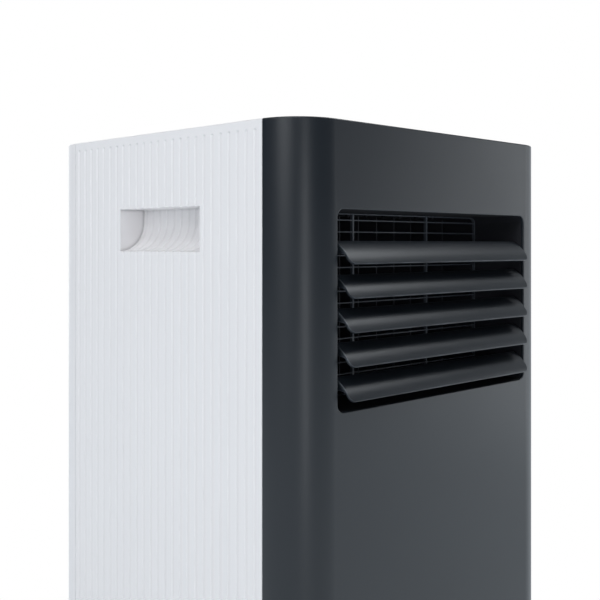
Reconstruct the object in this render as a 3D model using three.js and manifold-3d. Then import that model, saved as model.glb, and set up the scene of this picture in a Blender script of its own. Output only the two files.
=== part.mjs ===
// Portable air conditioner: a tall casing on four casters, with a louvred outlet high on its
// front, a handle pocket in each side, and an air filter and a hose collar at its back.
// Millimetres, +Z up. The origin is on the floor, under the middle of the casing.
// The front faces -Y, and the left side (seen first) faces -X.

import * as THREE from 'three';
import { mergeVertices } from 'three/addons/utils/BufferGeometryUtils.js';
import Module from 'manifold-3d';

// ---- Driving dimensions -------------------------------------------------------------------

// Casing
const WIDTH = 355;
const DEPTH = 346;
const HEIGHT = 703;
const CORNER_RADIUS = 40;
const WALL = 2.8;
const CASING_BOTTOM = 14;

// Clearances
const GAP = 0.3; // between faces that meet
const RUNNING_GAP = 0.4; // round a turning or sliding pin
const COVER_GAP = 0.4; // round a cover let into another piece

// Lap flanges that carry the side panels
const LAP_LENGTH = 9;
const LAP_THICKNESS = 2;
const LAP_ROOT = 8;

// Side panels
const GROOVE_COUNT = 25;
const GROOVE_PITCH = 10.42;
const GROOVE_WIDTH = 2.8;
const GROOVE_FLOOR = 1.4;
const GROOVE_DEPTH = 0.8;
const GROOVE_TOP_MARGIN = 7;

// Handle pockets
const POCKET_LENGTH = 114;
const POCKET_TOP = 637;
const POCKET_DEPTH = 26;
const POCKET_BACK_HEIGHT = 11.8;
const POCKET_WALL = 2;

// Top cover and controls
const TOP_RECESS = 1;
const TOP_THICKNESS = 3;
const SKIRT_DEPTH = 10;
const SKIRT_THICKNESS = 2;
const PANEL_LENGTH = 156;
const PANEL_DEPTH = 60;
const PANEL_CENTRE_Y = -120;
const PANEL_RADIUS = 6;
const PANEL_THICKNESS = 2.4;
const PANEL_RECESS = 0.3;
const LEDGE_WIDTH = 3;
const LEDGE_THICKNESS = 3;
const BUTTON_NAMES = ['power', 'mode', 'up', 'down', 'timer'];
const BUTTON_RADIUS = 7.8;
const BUTTON_PITCH = 24;
const BUTTON_Y = -132;
const BUTTON_PROUD = 1.2;
const BUTTON_FLANGE_WIDTH = 1.4;
const BUTTON_FLANGE_THICKNESS = 2;
const BUTTON_STEM_RADIUS = 2.5;
const BUTTON_TRAVEL = 1;
const DISPLAY_LENGTH = 62;
const DISPLAY_DEPTH = 18;
const DISPLAY_Y = -108;
const DISPLAY_FLANGE = 2.5;
const DISPLAY_FLANGE_THICKNESS = 2;
const DISPLAY_RADIUS = 2;
const DISPLAY_RECESS = 0.1;
const DIGITS_LENGTH = 50;
const DIGITS_DEPTH = 12;
const DIGITS_DROP = 3; // from the panel's underside down to the digits block
const BOARD_DROP = 16;
const BOARD_THICKNESS = 1.6;
const BOARD_POST_RADIUS = 3;
const BOARD_POST_ROOT = 0.5;
const STEM_CLEARANCE = 0.2; // left under a pressed button's stem

// Outlet: the throat is the clear opening of the front cover and of the duct behind it
const THROAT_WIDTH = 268.6;
const THROAT_TOP = 632.6;
const THROAT_BOTTOM = 473.6;
const THROAT_RADIUS = 7;
const DUCT_WALL = 2.2;
const DUCT_FLANGE = 7;
const DUCT_FLANGE_THICKNESS = 2;
const STOP_WIDTH = 3;
const STOP_DEPTH = 4;
const STOP_HEIGHT = 100;
const DUCT_BACK_Y = -58;

// Louvre blades
const BLADE_COUNT = 5;
const BLADE_PITCH = 26.9;
const BLADE_CHORD = 22.6;
const BLADE_SLOPE = 45.4 * Math.PI / 180;
const BLADE_SAG = 1.8;
const BLADE_THICKNESS = 2.2;
const BLADE_PROTRUSION = 6.9;
const BLADE_FIRST_LIP = 42.1; // from the throat's top down to the first blade's lip
const BLADE_CORNER = 5.5;
const BLADE_LEFT_GAP = 5.8;
const BLADE_RIGHT_GAP = 3;
const EAR_THICKNESS = 2.5;
const EAR_RADIUS = 3.2;
const EAR_TOE = 1.5; // ahead of the pivot, in ear radii
const PIVOT_RADIUS = 2;
const PIVOT_END_GAP = 0.2; // from a pivot's end in to the duct's outer face
const PIVOT_BELOW_RIDGE = 5.4;
const PIVOT_AHEAD_OF_RIDGE = 1;
const CRANK_LENGTH = 10;
const CRANK_PIN_RADIUS = 1.2;
const LINK_WIDTH = 6.4;
const LINK_THICKNESS = 2.2;
const LINK_TAIL = 11.4;
const MOTOR_ARM_OFFSET = 20; // from the link's pins back to the motor's crank pin
const CRANK_ARM_THICKNESS = 1.8;
const SWING_MOTOR_RADIUS = 12;
const SWING_MOTOR_LENGTH = 17;
const MOTOR_LUG_REACH = 17;
const MOTOR_LUG_HALF = 4;
const MOTOR_LUG_THICKNESS = 2;
const MOTOR_SOCKET = 6;
const CRANK_SHAFT_REACH = 4; // from the duct's outer face into the swing motor

// Guard grille behind the blades
const GUARD_FRONT_DEPTH = 56;
const GUARD_THICKNESS = 3;
const GUARD_BORDER = 2;
const GUARD_BAR_PITCH = 10.3;
const GUARD_BAR_HEIGHT = 1.5;
const GUARD_FIRST_BAR = 6.3;
const GUARD_RIB_INSET = 81.3; // from the duct's side to each upright rib
const GUARD_RIB_WIDTH = 2.4;

// Vertical vanes behind the guard
const VANE_COUNT = 9;
const VANE_END_GAP = 31.9; // from the duct's side to the outermost vane
const VANE_FRONT_DEPTH = 74;
const VANE_CHORD = 26;
const VANE_THICKNESS = 1.6;
const VANE_CRANK = 20;
const VANE_ARM_WIDTH = 5;
const VANE_ARM_THICKNESS = 2;
const VANE_LINK_THICKNESS = 3;
const VANE_LINK_WIDTH = 6;
const VANE_FOOT = 4.6;
const VANE_HEAD = 2;
const VANE_DRIVE_PIN = 5; // how far the first vane's pin reaches into its motor
const VANE_CRANK_PIN_RISE = 1.2;
const VANE_LINK_DROP = 0.2;

// Back: filter, hose collar, drain, cord inlet
const DOOR_WIDTH = 236;
const DOOR_BOTTOM = 424;
const DOOR_TOP = 648;
const DOOR_HINGE_RISE = 6;
const DOOR_HINGE_INSET = 6;
const DOOR_SWEEP_GAP = 3.5;
const DOOR_SLOT_COUNT = 14;
const DOOR_SLOT_PITCH = 14;
const DOOR_SLOT_HEIGHT = 6;
const DOOR_SLOT_LENGTH = 98;
const DOOR_SLOT_RISE = 14;
const DOOR_NOTCH_RADIUS = 12;
const DOOR_NOTCH_RISE = 5;
const DOOR_LUG_LENGTH = 5;
const DOOR_LUG_HALF = 3;
const HINGE_PIN_RADIUS = 1.5;
const HINGE_PIN_REACH = 7;
const HINGE_BOSS = { gap: 1.1, reach: 8, depth: 9, half: 5.5 };
const SLOT_SPLIT = 5; // from the middle to each column of slots
const RAIL_WIDTH = 4;
const RAIL_LIP = 3;
const RAIL_RISE = 8; // from the hinge line up to the filter's rails
const FILTER_THICKNESS = 5;
const FILTER_SETBACK = 11;
const FILTER_RIM = 6;
const FILTER_COLUMNS = 4;
const FILTER_ROWS = 3;
const FILTER_SKIN = 2;
const INTAKE_ROWS = 8;
const INTAKE_PITCH = 14;
const INTAKE_HEIGHT = 6;
const INTAKE_LENGTH = 98;
const INTAKE_BOTTOM = 74;
const COLLAR_X = 40;
const COLLAR_Z = 258;
const COLLAR_INNER_RADIUS = 60;
const COLLAR_WALL = 2.5;
const COLLAR_FLANGE = 11;
const COLLAR_FLANGE_THICKNESS = 2;
const COLLAR_PROUD = 8;
const COLLAR_INSIDE = 9;
const DRAIN_X = -60;
const DRAIN_Z = 55;
const DRAIN_RADIUS = 5;
const DRAIN_HOLE_MARGIN = 1.5;
const DRAIN_SPOUT_WALL = 3.5;
const DRAIN_PLUG = { length: 11, taper: 2, nose: 0.6, flange: 9, thickness: 3, pull: 4, height: 7 };
const INLET_X = -118;
const INLET_Z = 62;
const INLET_BORE = 3.4;
const INLET_WALL = 2.1;
const INLET_HOLE_MARGIN = 2.6;
const INLET_NOSE = { flange: 4, shoulder: 3.4, shoulderRise: 3, tip: 1.4, tipRise: 4.4 };

// Base and casters
const BASE_INSET = 5.5;
const BASE_FLOOR = 46;
const BASE_TOP = 62;
const BASE_WALL = 2.5;
const CASTER_INSET = 50; // from the casing's faces to each swivel axis
const WHEEL_RADIUS = 17;
const WHEEL_WIDTH = 12.4;
const AXLE_RADIUS = 2;
const CASTER_TRAIL = 12;
const STEM_RADIUS = 4.5;
const STEM_BOSS_RADIUS = 8;
const STEM_BOSS_HEIGHT = 4;
const CHEEK_THICKNESS = 2.5;
const CHEEK_ROUND = 5;
const CHEEK_BACK = 9; // from the swivel axis back to the cheek's heel
const CHEEK_FRONT = 12;
const FORK_DISC_RADIUS = 14;
const FORK_DISC_THICKNESS = 3.5;
const FORK_DISC_DROP = 1;
const STEM_RING = 1.5;
const STEM_RING_HEIGHT = 2;
const AXLE_REACH = 0.6;
const WHEEL_BEVEL = 1.5;
const WHEEL_SIDE_GAP = 1;

// Deck between the cold and the hot side
const DECK_INSET = 6;
const DECK_FLOOR = 326;
const DECK_RIM = 15;

// Cold side: fan, coil, control box
const COLD_FAN = { x: 0, z: 425, housing: 78, inlet: 50, wheel: 52, front: -50, back: 20, blades: 14 };
const COLD_MOTOR = { radius: 38, length: 42, shaft: 3 };
const COIL_SIDE_GAP = 49.5; // from the casing's face to the fins
const COIL_FRONT = 92;
const COIL_THICKNESS = 18;
const COLD_COIL_TOP = 650;
const CONTROL_BOX = { width: 58, depth: 130, height: 114, sideGap: 11.5, front: -150, bottom: 346 };
const CONTROL_LID = { inset: 4, radius: 3, proud: 1.5, overlap: 1 };

// Hot side: fan, coil, compressor
const HOT_FAN = { x: 48, z: 150, housing: 62, inlet: 40, wheel: 42, front: -60, back: 10, blades: 12 };
const HOT_MOTOR = { radius: 30, length: 36, shaft: 3 };
const FAN = { frontGap: 10, backGap: 12, rim: 9, disc: 2.5, hub: 5, hubLength: 20, blade: 1.2, play: 0.6 };
const FAN_MOTOR = { gap: 0.4, cap: 8, capLength: 5, shaftReach: 26 };
const SHAFT_HOLE_RADIUS = 6;
const PLENUM_OUTLET_INSET = 6;
const PLENUM = { x0: -22, x1: 108, z0: 200, z1: 321, back: 160 };
const HOT_COIL_TOP = 190;
const COIL_END = { overlap: 1, thickness: 1.5, reach: 4 };
const HEADER = { endGap: 20, setback: 8, sideGap: 0.5 };
const COMPRESSOR_PLATE = { reach: 3, drop: 3 };
const COMPRESSOR_FOOT = { count: 3, radius: 8, inset: 6 };
const STRAP = { half: 4, height: 12 };
const COMPRESSOR = { x: -72, y: -58, radius: 46, bottom: 58, top: 215 };
const ACCUMULATOR = { x: -137, y: -48, radius: 15, bottom: 76, top: 186 };
const PIPE_RADIUS = 4;
const PIPE_RISER_OFFSET = 19.5; // from the coil's header out to the suction pipe's riser
const PIPE_RISER_Y = 57;
const PIPE_HOLE_GAP = 6;
const PIPE_STEPS = 20;

// A margin that carries a cutting or joining solid past the face it meets
const OVER = 1;

// ---- Sizes that follow ---------------------------------------------------------------------

const halfWidth = WIDTH / 2;
const halfDepth = DEPTH / 2;
const frontY = -halfDepth;
const seamY = halfDepth - CORNER_RADIUS;
const throatHalf = THROAT_WIDTH / 2;
const coverInner = halfDepth - WALL;
const ductFrontY = -coverInner + GAP;
const topSurface = HEIGHT - TOP_RECESS;
const topUnderside = topSurface - TOP_THICKNESS;
const panelSurface = topSurface - PANEL_RECESS;
const panelUnderside = panelSurface - PANEL_THICKNESS;
const boardTop = topUnderside - BOARD_DROP + BOARD_THICKNESS;
const lapTop = topUnderside - SKIRT_DEPTH - 1;

// Blades: lip and ridge are the two ends of the blade's curved midline
const lipY = frontY - BLADE_PROTRUSION;
const ridgeY = lipY + BLADE_CHORD * Math.cos(BLADE_SLOPE);
const pivotY = ridgeY - PIVOT_AHEAD_OF_RIDGE;
const bladeLeft = -throatHalf + BLADE_LEFT_GAP;
const bladeRight = throatHalf - BLADE_RIGHT_GAP;
const lipZ = (index) => THROAT_TOP - BLADE_FIRST_LIP - index * BLADE_PITCH;
const pivotZ = (index) => lipZ(index) + BLADE_CHORD * Math.sin(BLADE_SLOPE) - PIVOT_BELOW_RIDGE;
const crankPinY = pivotY + CRANK_LENGTH;
const linkRight = bladeLeft - 1.2;
const linkLeft = linkRight - LINK_THICKNESS;
const armRight = linkLeft - GAP;
const armLeft = armRight - CRANK_ARM_THICKNESS;
const motorZ = pivotZ((BLADE_COUNT - 1) / 2);
const motorPivotY = pivotY + MOTOR_ARM_OFFSET;

// Guard and vanes
const guardFrontY = frontY + GUARD_FRONT_DEPTH;
const guardRibX = throatHalf - GUARD_RIB_INSET;
const guardBarCount = Math.floor((THROAT_TOP - THROAT_BOTTOM - GUARD_FIRST_BAR) / GUARD_BAR_PITCH) + 1;
const vaneFrontY = frontY + VANE_FRONT_DEPTH;
const vanePivotY = vaneFrontY + VANE_CHORD / 2;
const vaneCrankY = vanePivotY + VANE_CRANK;
const vanePitch = (THROAT_WIDTH - 2 * VANE_END_GAP) / (VANE_COUNT - 1);
const vaneX = (index) => (index - (VANE_COUNT - 1) / 2) * vanePitch;

// Coils
const coilHalfWidth = halfWidth - COIL_SIDE_GAP;
const headerX = -coilHalfWidth - PIPE_RADIUS - HEADER.sideGap;
const riserX = headerX - PIPE_RISER_OFFSET;

// Back
const filterFrontY = coverInner - FILTER_SETBACK - FILTER_THICKNESS;
const hingeY = halfDepth - DOOR_HINGE_INSET;
const hingeZ = DOOR_BOTTOM + DOOR_HINGE_RISE;

// ---- Solids --------------------------------------------------------------------------------

const manifold = await Module();
manifold.setup();

/** Turns a closed three.js geometry into a solid that can be joined and cut. */
function solidOf(geometry) {
  const bare = geometry.index ? geometry.clone() : geometry;
  bare.deleteAttribute('normal');
  bare.deleteAttribute('uv');
  const merged = mergeVertices(bare, 1e-4);
  return new manifold.Manifold(new manifold.Mesh({
    numProp: 3,
    vertProperties: new Float32Array(merged.attributes.position.array),
    triVerts: new Uint32Array(merged.index.array),
  }));
}

/** Turns a solid back into a three.js geometry. */
function geometryOf(solid) {
  const mesh = solid.getMesh();
  const positions = new Float32Array(mesh.numVert * 3);
  for (let vertex = 0; vertex < mesh.numVert; vertex += 1) {
    for (let axis = 0; axis < 3; axis += 1) {
      positions[vertex * 3 + axis] = mesh.vertProperties[vertex * mesh.numProp + axis];
    }
  }
  const geometry = new THREE.BufferGeometry();
  geometry.setAttribute('position', new THREE.BufferAttribute(positions, 3));
  geometry.setIndex(new THREE.BufferAttribute(new Uint32Array(mesh.triVerts), 1));
  geometry.computeVertexNormals();
  return geometry;
}

/** Joins solids into one. */
function join(first, ...others) {
  return others.reduce((sum, other) => sum.add(other), first);
}

/** Cuts each of the tools out of a solid. */
function cut(body, ...tools) {
  return tools.reduce((rest, tool) => rest.subtract(tool), body);
}

/** A box between two limits on each axis, in either order. */
function block(xa, xb, ya, yb, za, zb) {
  const geometry = new THREE.BoxGeometry(Math.abs(xb - xa), Math.abs(yb - ya), Math.abs(zb - za));
  return solidOf(geometry.translate((xa + xb) / 2, (ya + yb) / 2, (za + zb) / 2));
}

/** A round bar along an axis, from a to b, centred on u and v of the two other axes. */
function rod(axis, radius, a, b, u, v, segments = 8) {
  const geometry = new THREE.CylinderGeometry(radius, radius, Math.abs(b - a), segments);
  const middle = (a + b) / 2;
  if (axis === 'x') {
    return solidOf(geometry.rotateZ(-Math.PI / 2).translate(middle, u, v));
  }
  if (axis === 'y') {
    return solidOf(geometry.translate(u, middle, v));
  }
  return solidOf(geometry.rotateX(Math.PI / 2).translate(u, v, middle));
}

/** A closed outline of [along, across] points. */
function outline(points) {
  return new THREE.Shape(points.map(([along, across]) => new THREE.Vector2(along, across)));
}

/** Points on an arc, from one angle to the other, both ends included. */
function arcPoints(centreA, centreB, radius, from, to, steps) {
  const points = [];
  for (let step = 0; step <= steps; step += 1) {
    const angle = from + (to - from) * step / steps;
    points.push([centreA + radius * Math.cos(angle), centreB + radius * Math.sin(angle)]);
  }
  return points;
}

/** A rectangle with round corners. */
function roundedRectangle(x0, x1, y0, y1, radius) {
  const shape = new THREE.Shape();
  shape.absarc(x1 - radius, y1 - radius, radius, 0, Math.PI / 2);
  shape.absarc(x0 + radius, y1 - radius, radius, Math.PI / 2, Math.PI);
  shape.absarc(x0 + radius, y0 + radius, radius, Math.PI, Math.PI * 1.5);
  shape.absarc(x1 - radius, y0 + radius, radius, Math.PI * 1.5, Math.PI * 2);
  shape.closePath();
  return shape;
}

/** Extrudes an XY outline from z0 to z1. */
function prismZ(shape, z0, z1, curveSegments = 1) {
  const geometry = new THREE.ExtrudeGeometry(shape, {
    depth: z1 - z0,
    bevelEnabled: false,
    curveSegments,
  });
  return solidOf(geometry.translate(0, 0, z0));
}

/** Extrudes an XZ outline from y0 to y1. */
function prismY(shape, y0, y1, curveSegments = 1) {
  return prismZ(shape, 0, y1 - y0, curveSegments).rotate([90, 0, 0]).translate([0, y1, 0]);
}

/** Extrudes a YZ outline from x0 to x1. */
function prismX(shape, x0, x1, curveSegments = 1) {
  return prismZ(shape, 0, x1 - x0, curveSegments).rotate([90, 0, 90]).translate([x0, 0, 0]);
}

/** A turned solid on an axis along Y or Z: the profile lists [radius, place] pairs. */
function turned(axis, profile, u, v, segments = 16) {
  const points = profile.map(([radius, place]) => new THREE.Vector2(radius, place));
  const geometry = new THREE.LatheGeometry(points, segments);
  if (axis === 'y') {
    return solidOf(geometry.translate(u, 0, v));
  }
  return solidOf(geometry.rotateX(Math.PI / 2).translate(u, v, 0));
}

/** A tube or solid bar that follows a smooth path through the points. */
function bar(points, radius, steps) {
  const path = new THREE.CatmullRomCurve3(points.map((point) => new THREE.Vector3(...point)));
  const section = outline(arcPoints(0, 0, radius, 0, Math.PI * 5 / 3, 5));
  return solidOf(new THREE.ExtrudeGeometry(section, { steps, extrudePath: path }));
}

/** The casing's plan outline, let in from its outer face. */
function casingOutline(inset) {
  return roundedRectangle(
    -halfWidth + inset,
    halfWidth - inset,
    -halfDepth + inset,
    halfDepth - inset,
    CORNER_RADIUS - inset,
  );
}

/** A slab with the casing's plan. */
function casingSlab(inset, z0, z1) {
  return prismZ(casingOutline(inset), z0, z1, 4);
}

// ---- Materials -----------------------------------------------------------------------------

const finish = (color, roughness, metalness) =>
  new THREE.MeshStandardMaterial({ color, roughness, metalness });

const MATERIALS = {
  charcoal: finish(0x3d4045, 0.45, 0),
  white: finish(0xdee2e7, 0.5, 0),
  black: finish(0x15171a, 0.6, 0),
  gloss: finish(0x0b0c0e, 0.12, 0),
  grey: finish(0x8b8f95, 0.5, 0),
  rubber: finish(0x1c1c1d, 0.85, 0),
  mesh: finish(0x2b2f36, 0.9, 0),
  steel: finish(0x9aa0a6, 0.4, 1),
  aluminium: finish(0xb9bdc2, 0.4, 1),
  copper: finish(0xb06a3c, 0.35, 1),
  enamel: finish(0x101113, 0.4, 0.2),
  board: finish(0x1f5a38, 0.6, 0),
  foam: finish(0x3e4044, 0.9, 0),
};

const group = new THREE.Group();

/** Adds a named piece to the model. */
function addPiece(name, solid, material) {
  const mesh = new THREE.Mesh(geometryOf(solid), MATERIALS[material]);
  mesh.name = name;
  group.add(mesh);
}

// ---- Casing --------------------------------------------------------------------------------

/** A cover that wraps two corners: the front for direction -1, the back for +1. */
function wrapCover(direction) {
  const seam = direction * seamY;
  const ring = cut(
    casingSlab(0, CASING_BOTTOM, HEIGHT),
    casingSlab(WALL, CASING_BOTTOM - 1, HEIGHT + 1),
  );
  const region = block(-WIDTH, WIDTH, direction * DEPTH, seam, 0, HEIGHT + 1);
  let cover = ring.intersect(region);
  for (const side of [-1, 1]) {
    const inner = side * (halfWidth - WALL - GAP - LAP_THICKNESS);
    const outer = side * (halfWidth - WALL - GAP);
    const rootEnd = seam + direction * LAP_ROOT;
    const lapEnd = seam - direction * LAP_LENGTH;
    const lap = block(inner, outer, rootEnd, lapEnd, BASE_TOP + 2, lapTop);
    const web = block(inner, side * (halfWidth - WALL / 2), rootEnd, seam + direction, BASE_TOP + 2, lapTop);
    cover = join(cover, lap, web.intersect(casingSlab(WALL / 2, 0, HEIGHT)));
  }
  return cover;
}

/** The clear opening of the outlet, as an XZ outline let out by a margin. */
function throatOutline(margin) {
  return roundedRectangle(
    -throatHalf - margin,
    throatHalf + margin,
    THROAT_BOTTOM - margin,
    THROAT_TOP + margin,
    THROAT_RADIUS + margin,
  );
}

function frontCover() {
  return cut(wrapCover(-1), prismY(throatOutline(0), frontY - 1, -coverInner + 1));
}

/** Inward distance and height of the handle pocket's hollow, let out by a wall. */
function pocketProfile(margin, mouth) {
  const depth = POCKET_DEPTH + margin;
  const arcZ = POCKET_TOP - POCKET_BACK_HEIGHT;
  const start = -Math.acos(Math.min(mouth / depth, 1));
  const scoop = arcPoints(0, arcZ, depth, 0, mouth > 0 ? start : -Math.PI / 2, 8);
  const tail = mouth > 0 ? [] : [[mouth, arcZ - depth]];
  return [[mouth, POCKET_TOP + margin], [depth, POCKET_TOP + margin], ...scoop, ...tail];
}

/** The pocket's hollow or its shell, on one side of the casing. */
function pocketSolid(side, margin, mouth) {
  const points = pocketProfile(margin, mouth).map(([inward, z]) => [side * (halfWidth - inward), z]);
  const half = POCKET_LENGTH / 2 + margin;
  return prismY(outline(points), -half, half);
}

/** One groove of a side panel, which runs down from just under the top edge. */
function groove(side, index) {
  const y = (index - (GROOVE_COUNT - 1) / 2) * GROOVE_PITCH;
  const face = side * halfWidth;
  const floor = side * (halfWidth - GROOVE_DEPTH);
  const above = side * (halfWidth + GROOVE_DEPTH);
  const flare = GROOVE_WIDTH - GROOVE_FLOOR;
  const section = outline([
    [above, y - GROOVE_WIDTH / 2 - flare / 2],
    [face, y - GROOVE_WIDTH / 2],
    [floor, y - GROOVE_FLOOR / 2],
    [floor, y + GROOVE_FLOOR / 2],
    [face, y + GROOVE_WIDTH / 2],
    [above, y + GROOVE_WIDTH / 2 + flare / 2],
  ]);
  return prismZ(section, CASING_BOTTOM - 1, HEIGHT - GROOVE_TOP_MARGIN);
}

function sidePanel(side) {
  const edge = seamY - GAP;
  let panel = block(side * (halfWidth - WALL), side * halfWidth, -edge, edge, CASING_BOTTOM, HEIGHT);
  for (let index = 0; index < GROOVE_COUNT; index += 1) {
    panel = cut(panel, groove(side, index));
  }
  panel = join(panel, pocketSolid(side, POCKET_WALL, WALL / 2));
  return cut(panel, pocketSolid(side, 0, -1));
}

/** An XY outline of the control panel, let out by a margin. */
function panelOutline(margin) {
  return roundedRectangle(
    -PANEL_LENGTH / 2 - margin,
    PANEL_LENGTH / 2 + margin,
    PANEL_CENTRE_Y - PANEL_DEPTH / 2 - margin,
    PANEL_CENTRE_Y + PANEL_DEPTH / 2 + margin,
    PANEL_RADIUS + margin,
  );
}

function topCover() {
  const inset = WALL + COVER_GAP;
  const plate = casingSlab(inset, topUnderside, topSurface);
  const skirt = cut(
    casingSlab(inset, topUnderside - SKIRT_DEPTH, topUnderside + 1),
    casingSlab(inset + SKIRT_THICKNESS, topUnderside - SKIRT_DEPTH - 1, topUnderside + 2),
  );
  const ledgeBottom = panelUnderside - GAP - LEDGE_THICKNESS;
  const ledge = prismZ(panelOutline(COVER_GAP + LEDGE_WIDTH), ledgeBottom, topUnderside + 1);
  const seat = prismZ(panelOutline(COVER_GAP), panelUnderside - GAP, HEIGHT + 1);
  const window = prismZ(panelOutline(-LEDGE_WIDTH), ledgeBottom - 1, HEIGHT + 1);
  return cut(join(plate, skirt, ledge), seat, window);
}

// ---- Controls ------------------------------------------------------------------------------

const buttonX = (index) => (index - (BUTTON_NAMES.length - 1) / 2) * BUTTON_PITCH;

/** An XY outline of the display, let out by a margin. */
function displayOutline(margin) {
  return roundedRectangle(
    -DISPLAY_LENGTH / 2 - margin,
    DISPLAY_LENGTH / 2 + margin,
    DISPLAY_Y - DISPLAY_DEPTH / 2 - margin,
    DISPLAY_Y + DISPLAY_DEPTH / 2 + margin,
    DISPLAY_RADIUS + margin,
  );
}

function controlPanel() {
  let panel = prismZ(panelOutline(0), panelUnderside, panelSurface);
  BUTTON_NAMES.forEach((name, index) => {
    const x = buttonX(index);
    const hole = rod('z', BUTTON_RADIUS + RUNNING_GAP, panelUnderside - 1, HEIGHT, x, BUTTON_Y, 16);
    panel = cut(panel, hole);
  });
  panel = cut(panel, prismZ(displayOutline(GAP), panelUnderside - 1, HEIGHT));
  const postTop = panelUnderside + BOARD_POST_ROOT;
  for (const side of [-1, 1]) {
    const x = side * (PANEL_LENGTH / 2 - LEDGE_WIDTH - 2 * BOARD_POST_RADIUS);
    panel = join(panel, rod('z', BOARD_POST_RADIUS, boardTop + GAP, postTop, x, PANEL_CENTRE_Y));
  }
  return panel;
}

function displayWindow() {
  const flangeTop = panelUnderside - GAP;
  return join(
    prismZ(displayOutline(0), flangeTop - OVER, panelSurface - DISPLAY_RECESS),
    prismZ(displayOutline(DISPLAY_FLANGE), flangeTop - DISPLAY_FLANGE_THICKNESS, flangeTop),
  );
}

function button(index) {
  const x = buttonX(index);
  const flangeTop = panelUnderside - GAP;
  const flangeBottom = flangeTop - BUTTON_FLANGE_THICKNESS;
  const stemBottom = boardTop + BUTTON_TRAVEL + STEM_CLEARANCE;
  return join(
    rod('z', BUTTON_RADIUS, flangeBottom, panelSurface + BUTTON_PROUD, x, BUTTON_Y, 16),
    rod('z', BUTTON_RADIUS + BUTTON_FLANGE_WIDTH, flangeBottom, flangeTop, x, BUTTON_Y, 16),
    rod('z', BUTTON_STEM_RADIUS, stemBottom, flangeTop, x, BUTTON_Y),
  );
}

function displayBoard() {
  const reachX = PANEL_LENGTH / 2 - LEDGE_WIDTH;
  const reachY = PANEL_DEPTH / 2 - LEDGE_WIDTH;
  const board = block(
    -reachX,
    reachX,
    PANEL_CENTRE_Y - reachY,
    PANEL_CENTRE_Y + reachY,
    boardTop - BOARD_THICKNESS,
    boardTop,
  );
  const digits = block(
    -DIGITS_LENGTH / 2,
    DIGITS_LENGTH / 2,
    DISPLAY_Y - DIGITS_DEPTH / 2,
    DISPLAY_Y + DIGITS_DEPTH / 2,
    boardTop - 0.1,
    panelUnderside - DIGITS_DROP,
  );
  return join(board, digits);
}

// ---- Outlet --------------------------------------------------------------------------------

function outletDuct() {
  const outer = prismY(throatOutline(DUCT_WALL), ductFrontY, DUCT_BACK_Y);
  const flange = block(
    -throatHalf - DUCT_WALL,
    throatHalf + DUCT_WALL,
    ductFrontY,
    ductFrontY + DUCT_FLANGE_THICKNESS,
    THROAT_BOTTOM - DUCT_WALL - DUCT_FLANGE,
    THROAT_TOP + DUCT_WALL + DUCT_FLANGE,
  );
  let duct = cut(join(outer, flange), prismY(throatOutline(0), frontY, DUCT_BACK_Y + 1));
  const reach = throatHalf + DUCT_WALL + 1;
  for (let index = 0; index < BLADE_COUNT; index += 1) {
    duct = cut(duct, rod('x', PIVOT_RADIUS + RUNNING_GAP, -reach, reach, pivotY, pivotZ(index)));
  }
  duct = cut(duct, rod('x', PIVOT_RADIUS + RUNNING_GAP, -reach, 0, motorPivotY, motorZ));
  for (let index = 0; index < VANE_COUNT; index += 1) {
    const hole = rod(
      'z',
      PIVOT_RADIUS + RUNNING_GAP,
      THROAT_BOTTOM - DUCT_WALL - 1,
      THROAT_TOP + DUCT_WALL + 1,
      vaneX(index),
      vanePivotY,
    );
    duct = cut(duct, hole);
  }
  const stopFront = guardFrontY + GUARD_THICKNESS + GAP;
  const middle = (THROAT_TOP + THROAT_BOTTOM) / 2;
  for (const side of [-1, 1]) {
    const stop = block(
      side * (throatHalf - STOP_WIDTH),
      side * (throatHalf + OVER),
      stopFront,
      stopFront + STOP_DEPTH,
      middle - STOP_HEIGHT / 2,
      middle + STOP_HEIGHT / 2,
    );
    duct = join(duct, stop);
  }
  return duct;
}

/** Points along the blade's curved midline as [y, z], from the lip to the ridge. */
function bladeMidline(index, steps) {
  const halfChord = BLADE_CHORD / 2;
  const radius = halfChord * halfChord / (2 * BLADE_SAG) + BLADE_SAG / 2;
  const sweep = Math.asin(halfChord / radius);
  const middleY = lipY + halfChord * Math.cos(BLADE_SLOPE);
  const middleZ = lipZ(index) + halfChord * Math.sin(BLADE_SLOPE);
  const drop = radius - BLADE_SAG;
  const centreY = middleY + drop * Math.sin(BLADE_SLOPE);
  const centreZ = middleZ - drop * Math.cos(BLADE_SLOPE);
  const up = BLADE_SLOPE + Math.PI / 2;
  return { centreY, centreZ, radius, from: up + sweep, to: up - sweep, steps };
}

/** The blade's section: the midline thickened, with half-round edges. */
function bladeSection(index) {
  const arc = bladeMidline(index, 5);
  const half = BLADE_THICKNESS / 2;
  const top = arcPoints(arc.centreY, arc.centreZ, arc.radius + half, arc.from, arc.to, arc.steps);
  const under = arcPoints(arc.centreY, arc.centreZ, arc.radius - half, arc.to, arc.from, arc.steps);
  const edge = (place, start) => {
    const y = arc.centreY + arc.radius * Math.cos(place);
    const z = arc.centreZ + arc.radius * Math.sin(place);
    return arcPoints(y, z, half, start, start - Math.PI, 3).slice(1, -1);
  };
  const ridgeEdge = edge(arc.to, arc.to);
  const lipEdge = edge(arc.from, arc.from + Math.PI);
  return outline([...top, ...ridgeEdge, ...under, ...lipEdge]);
}

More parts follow.
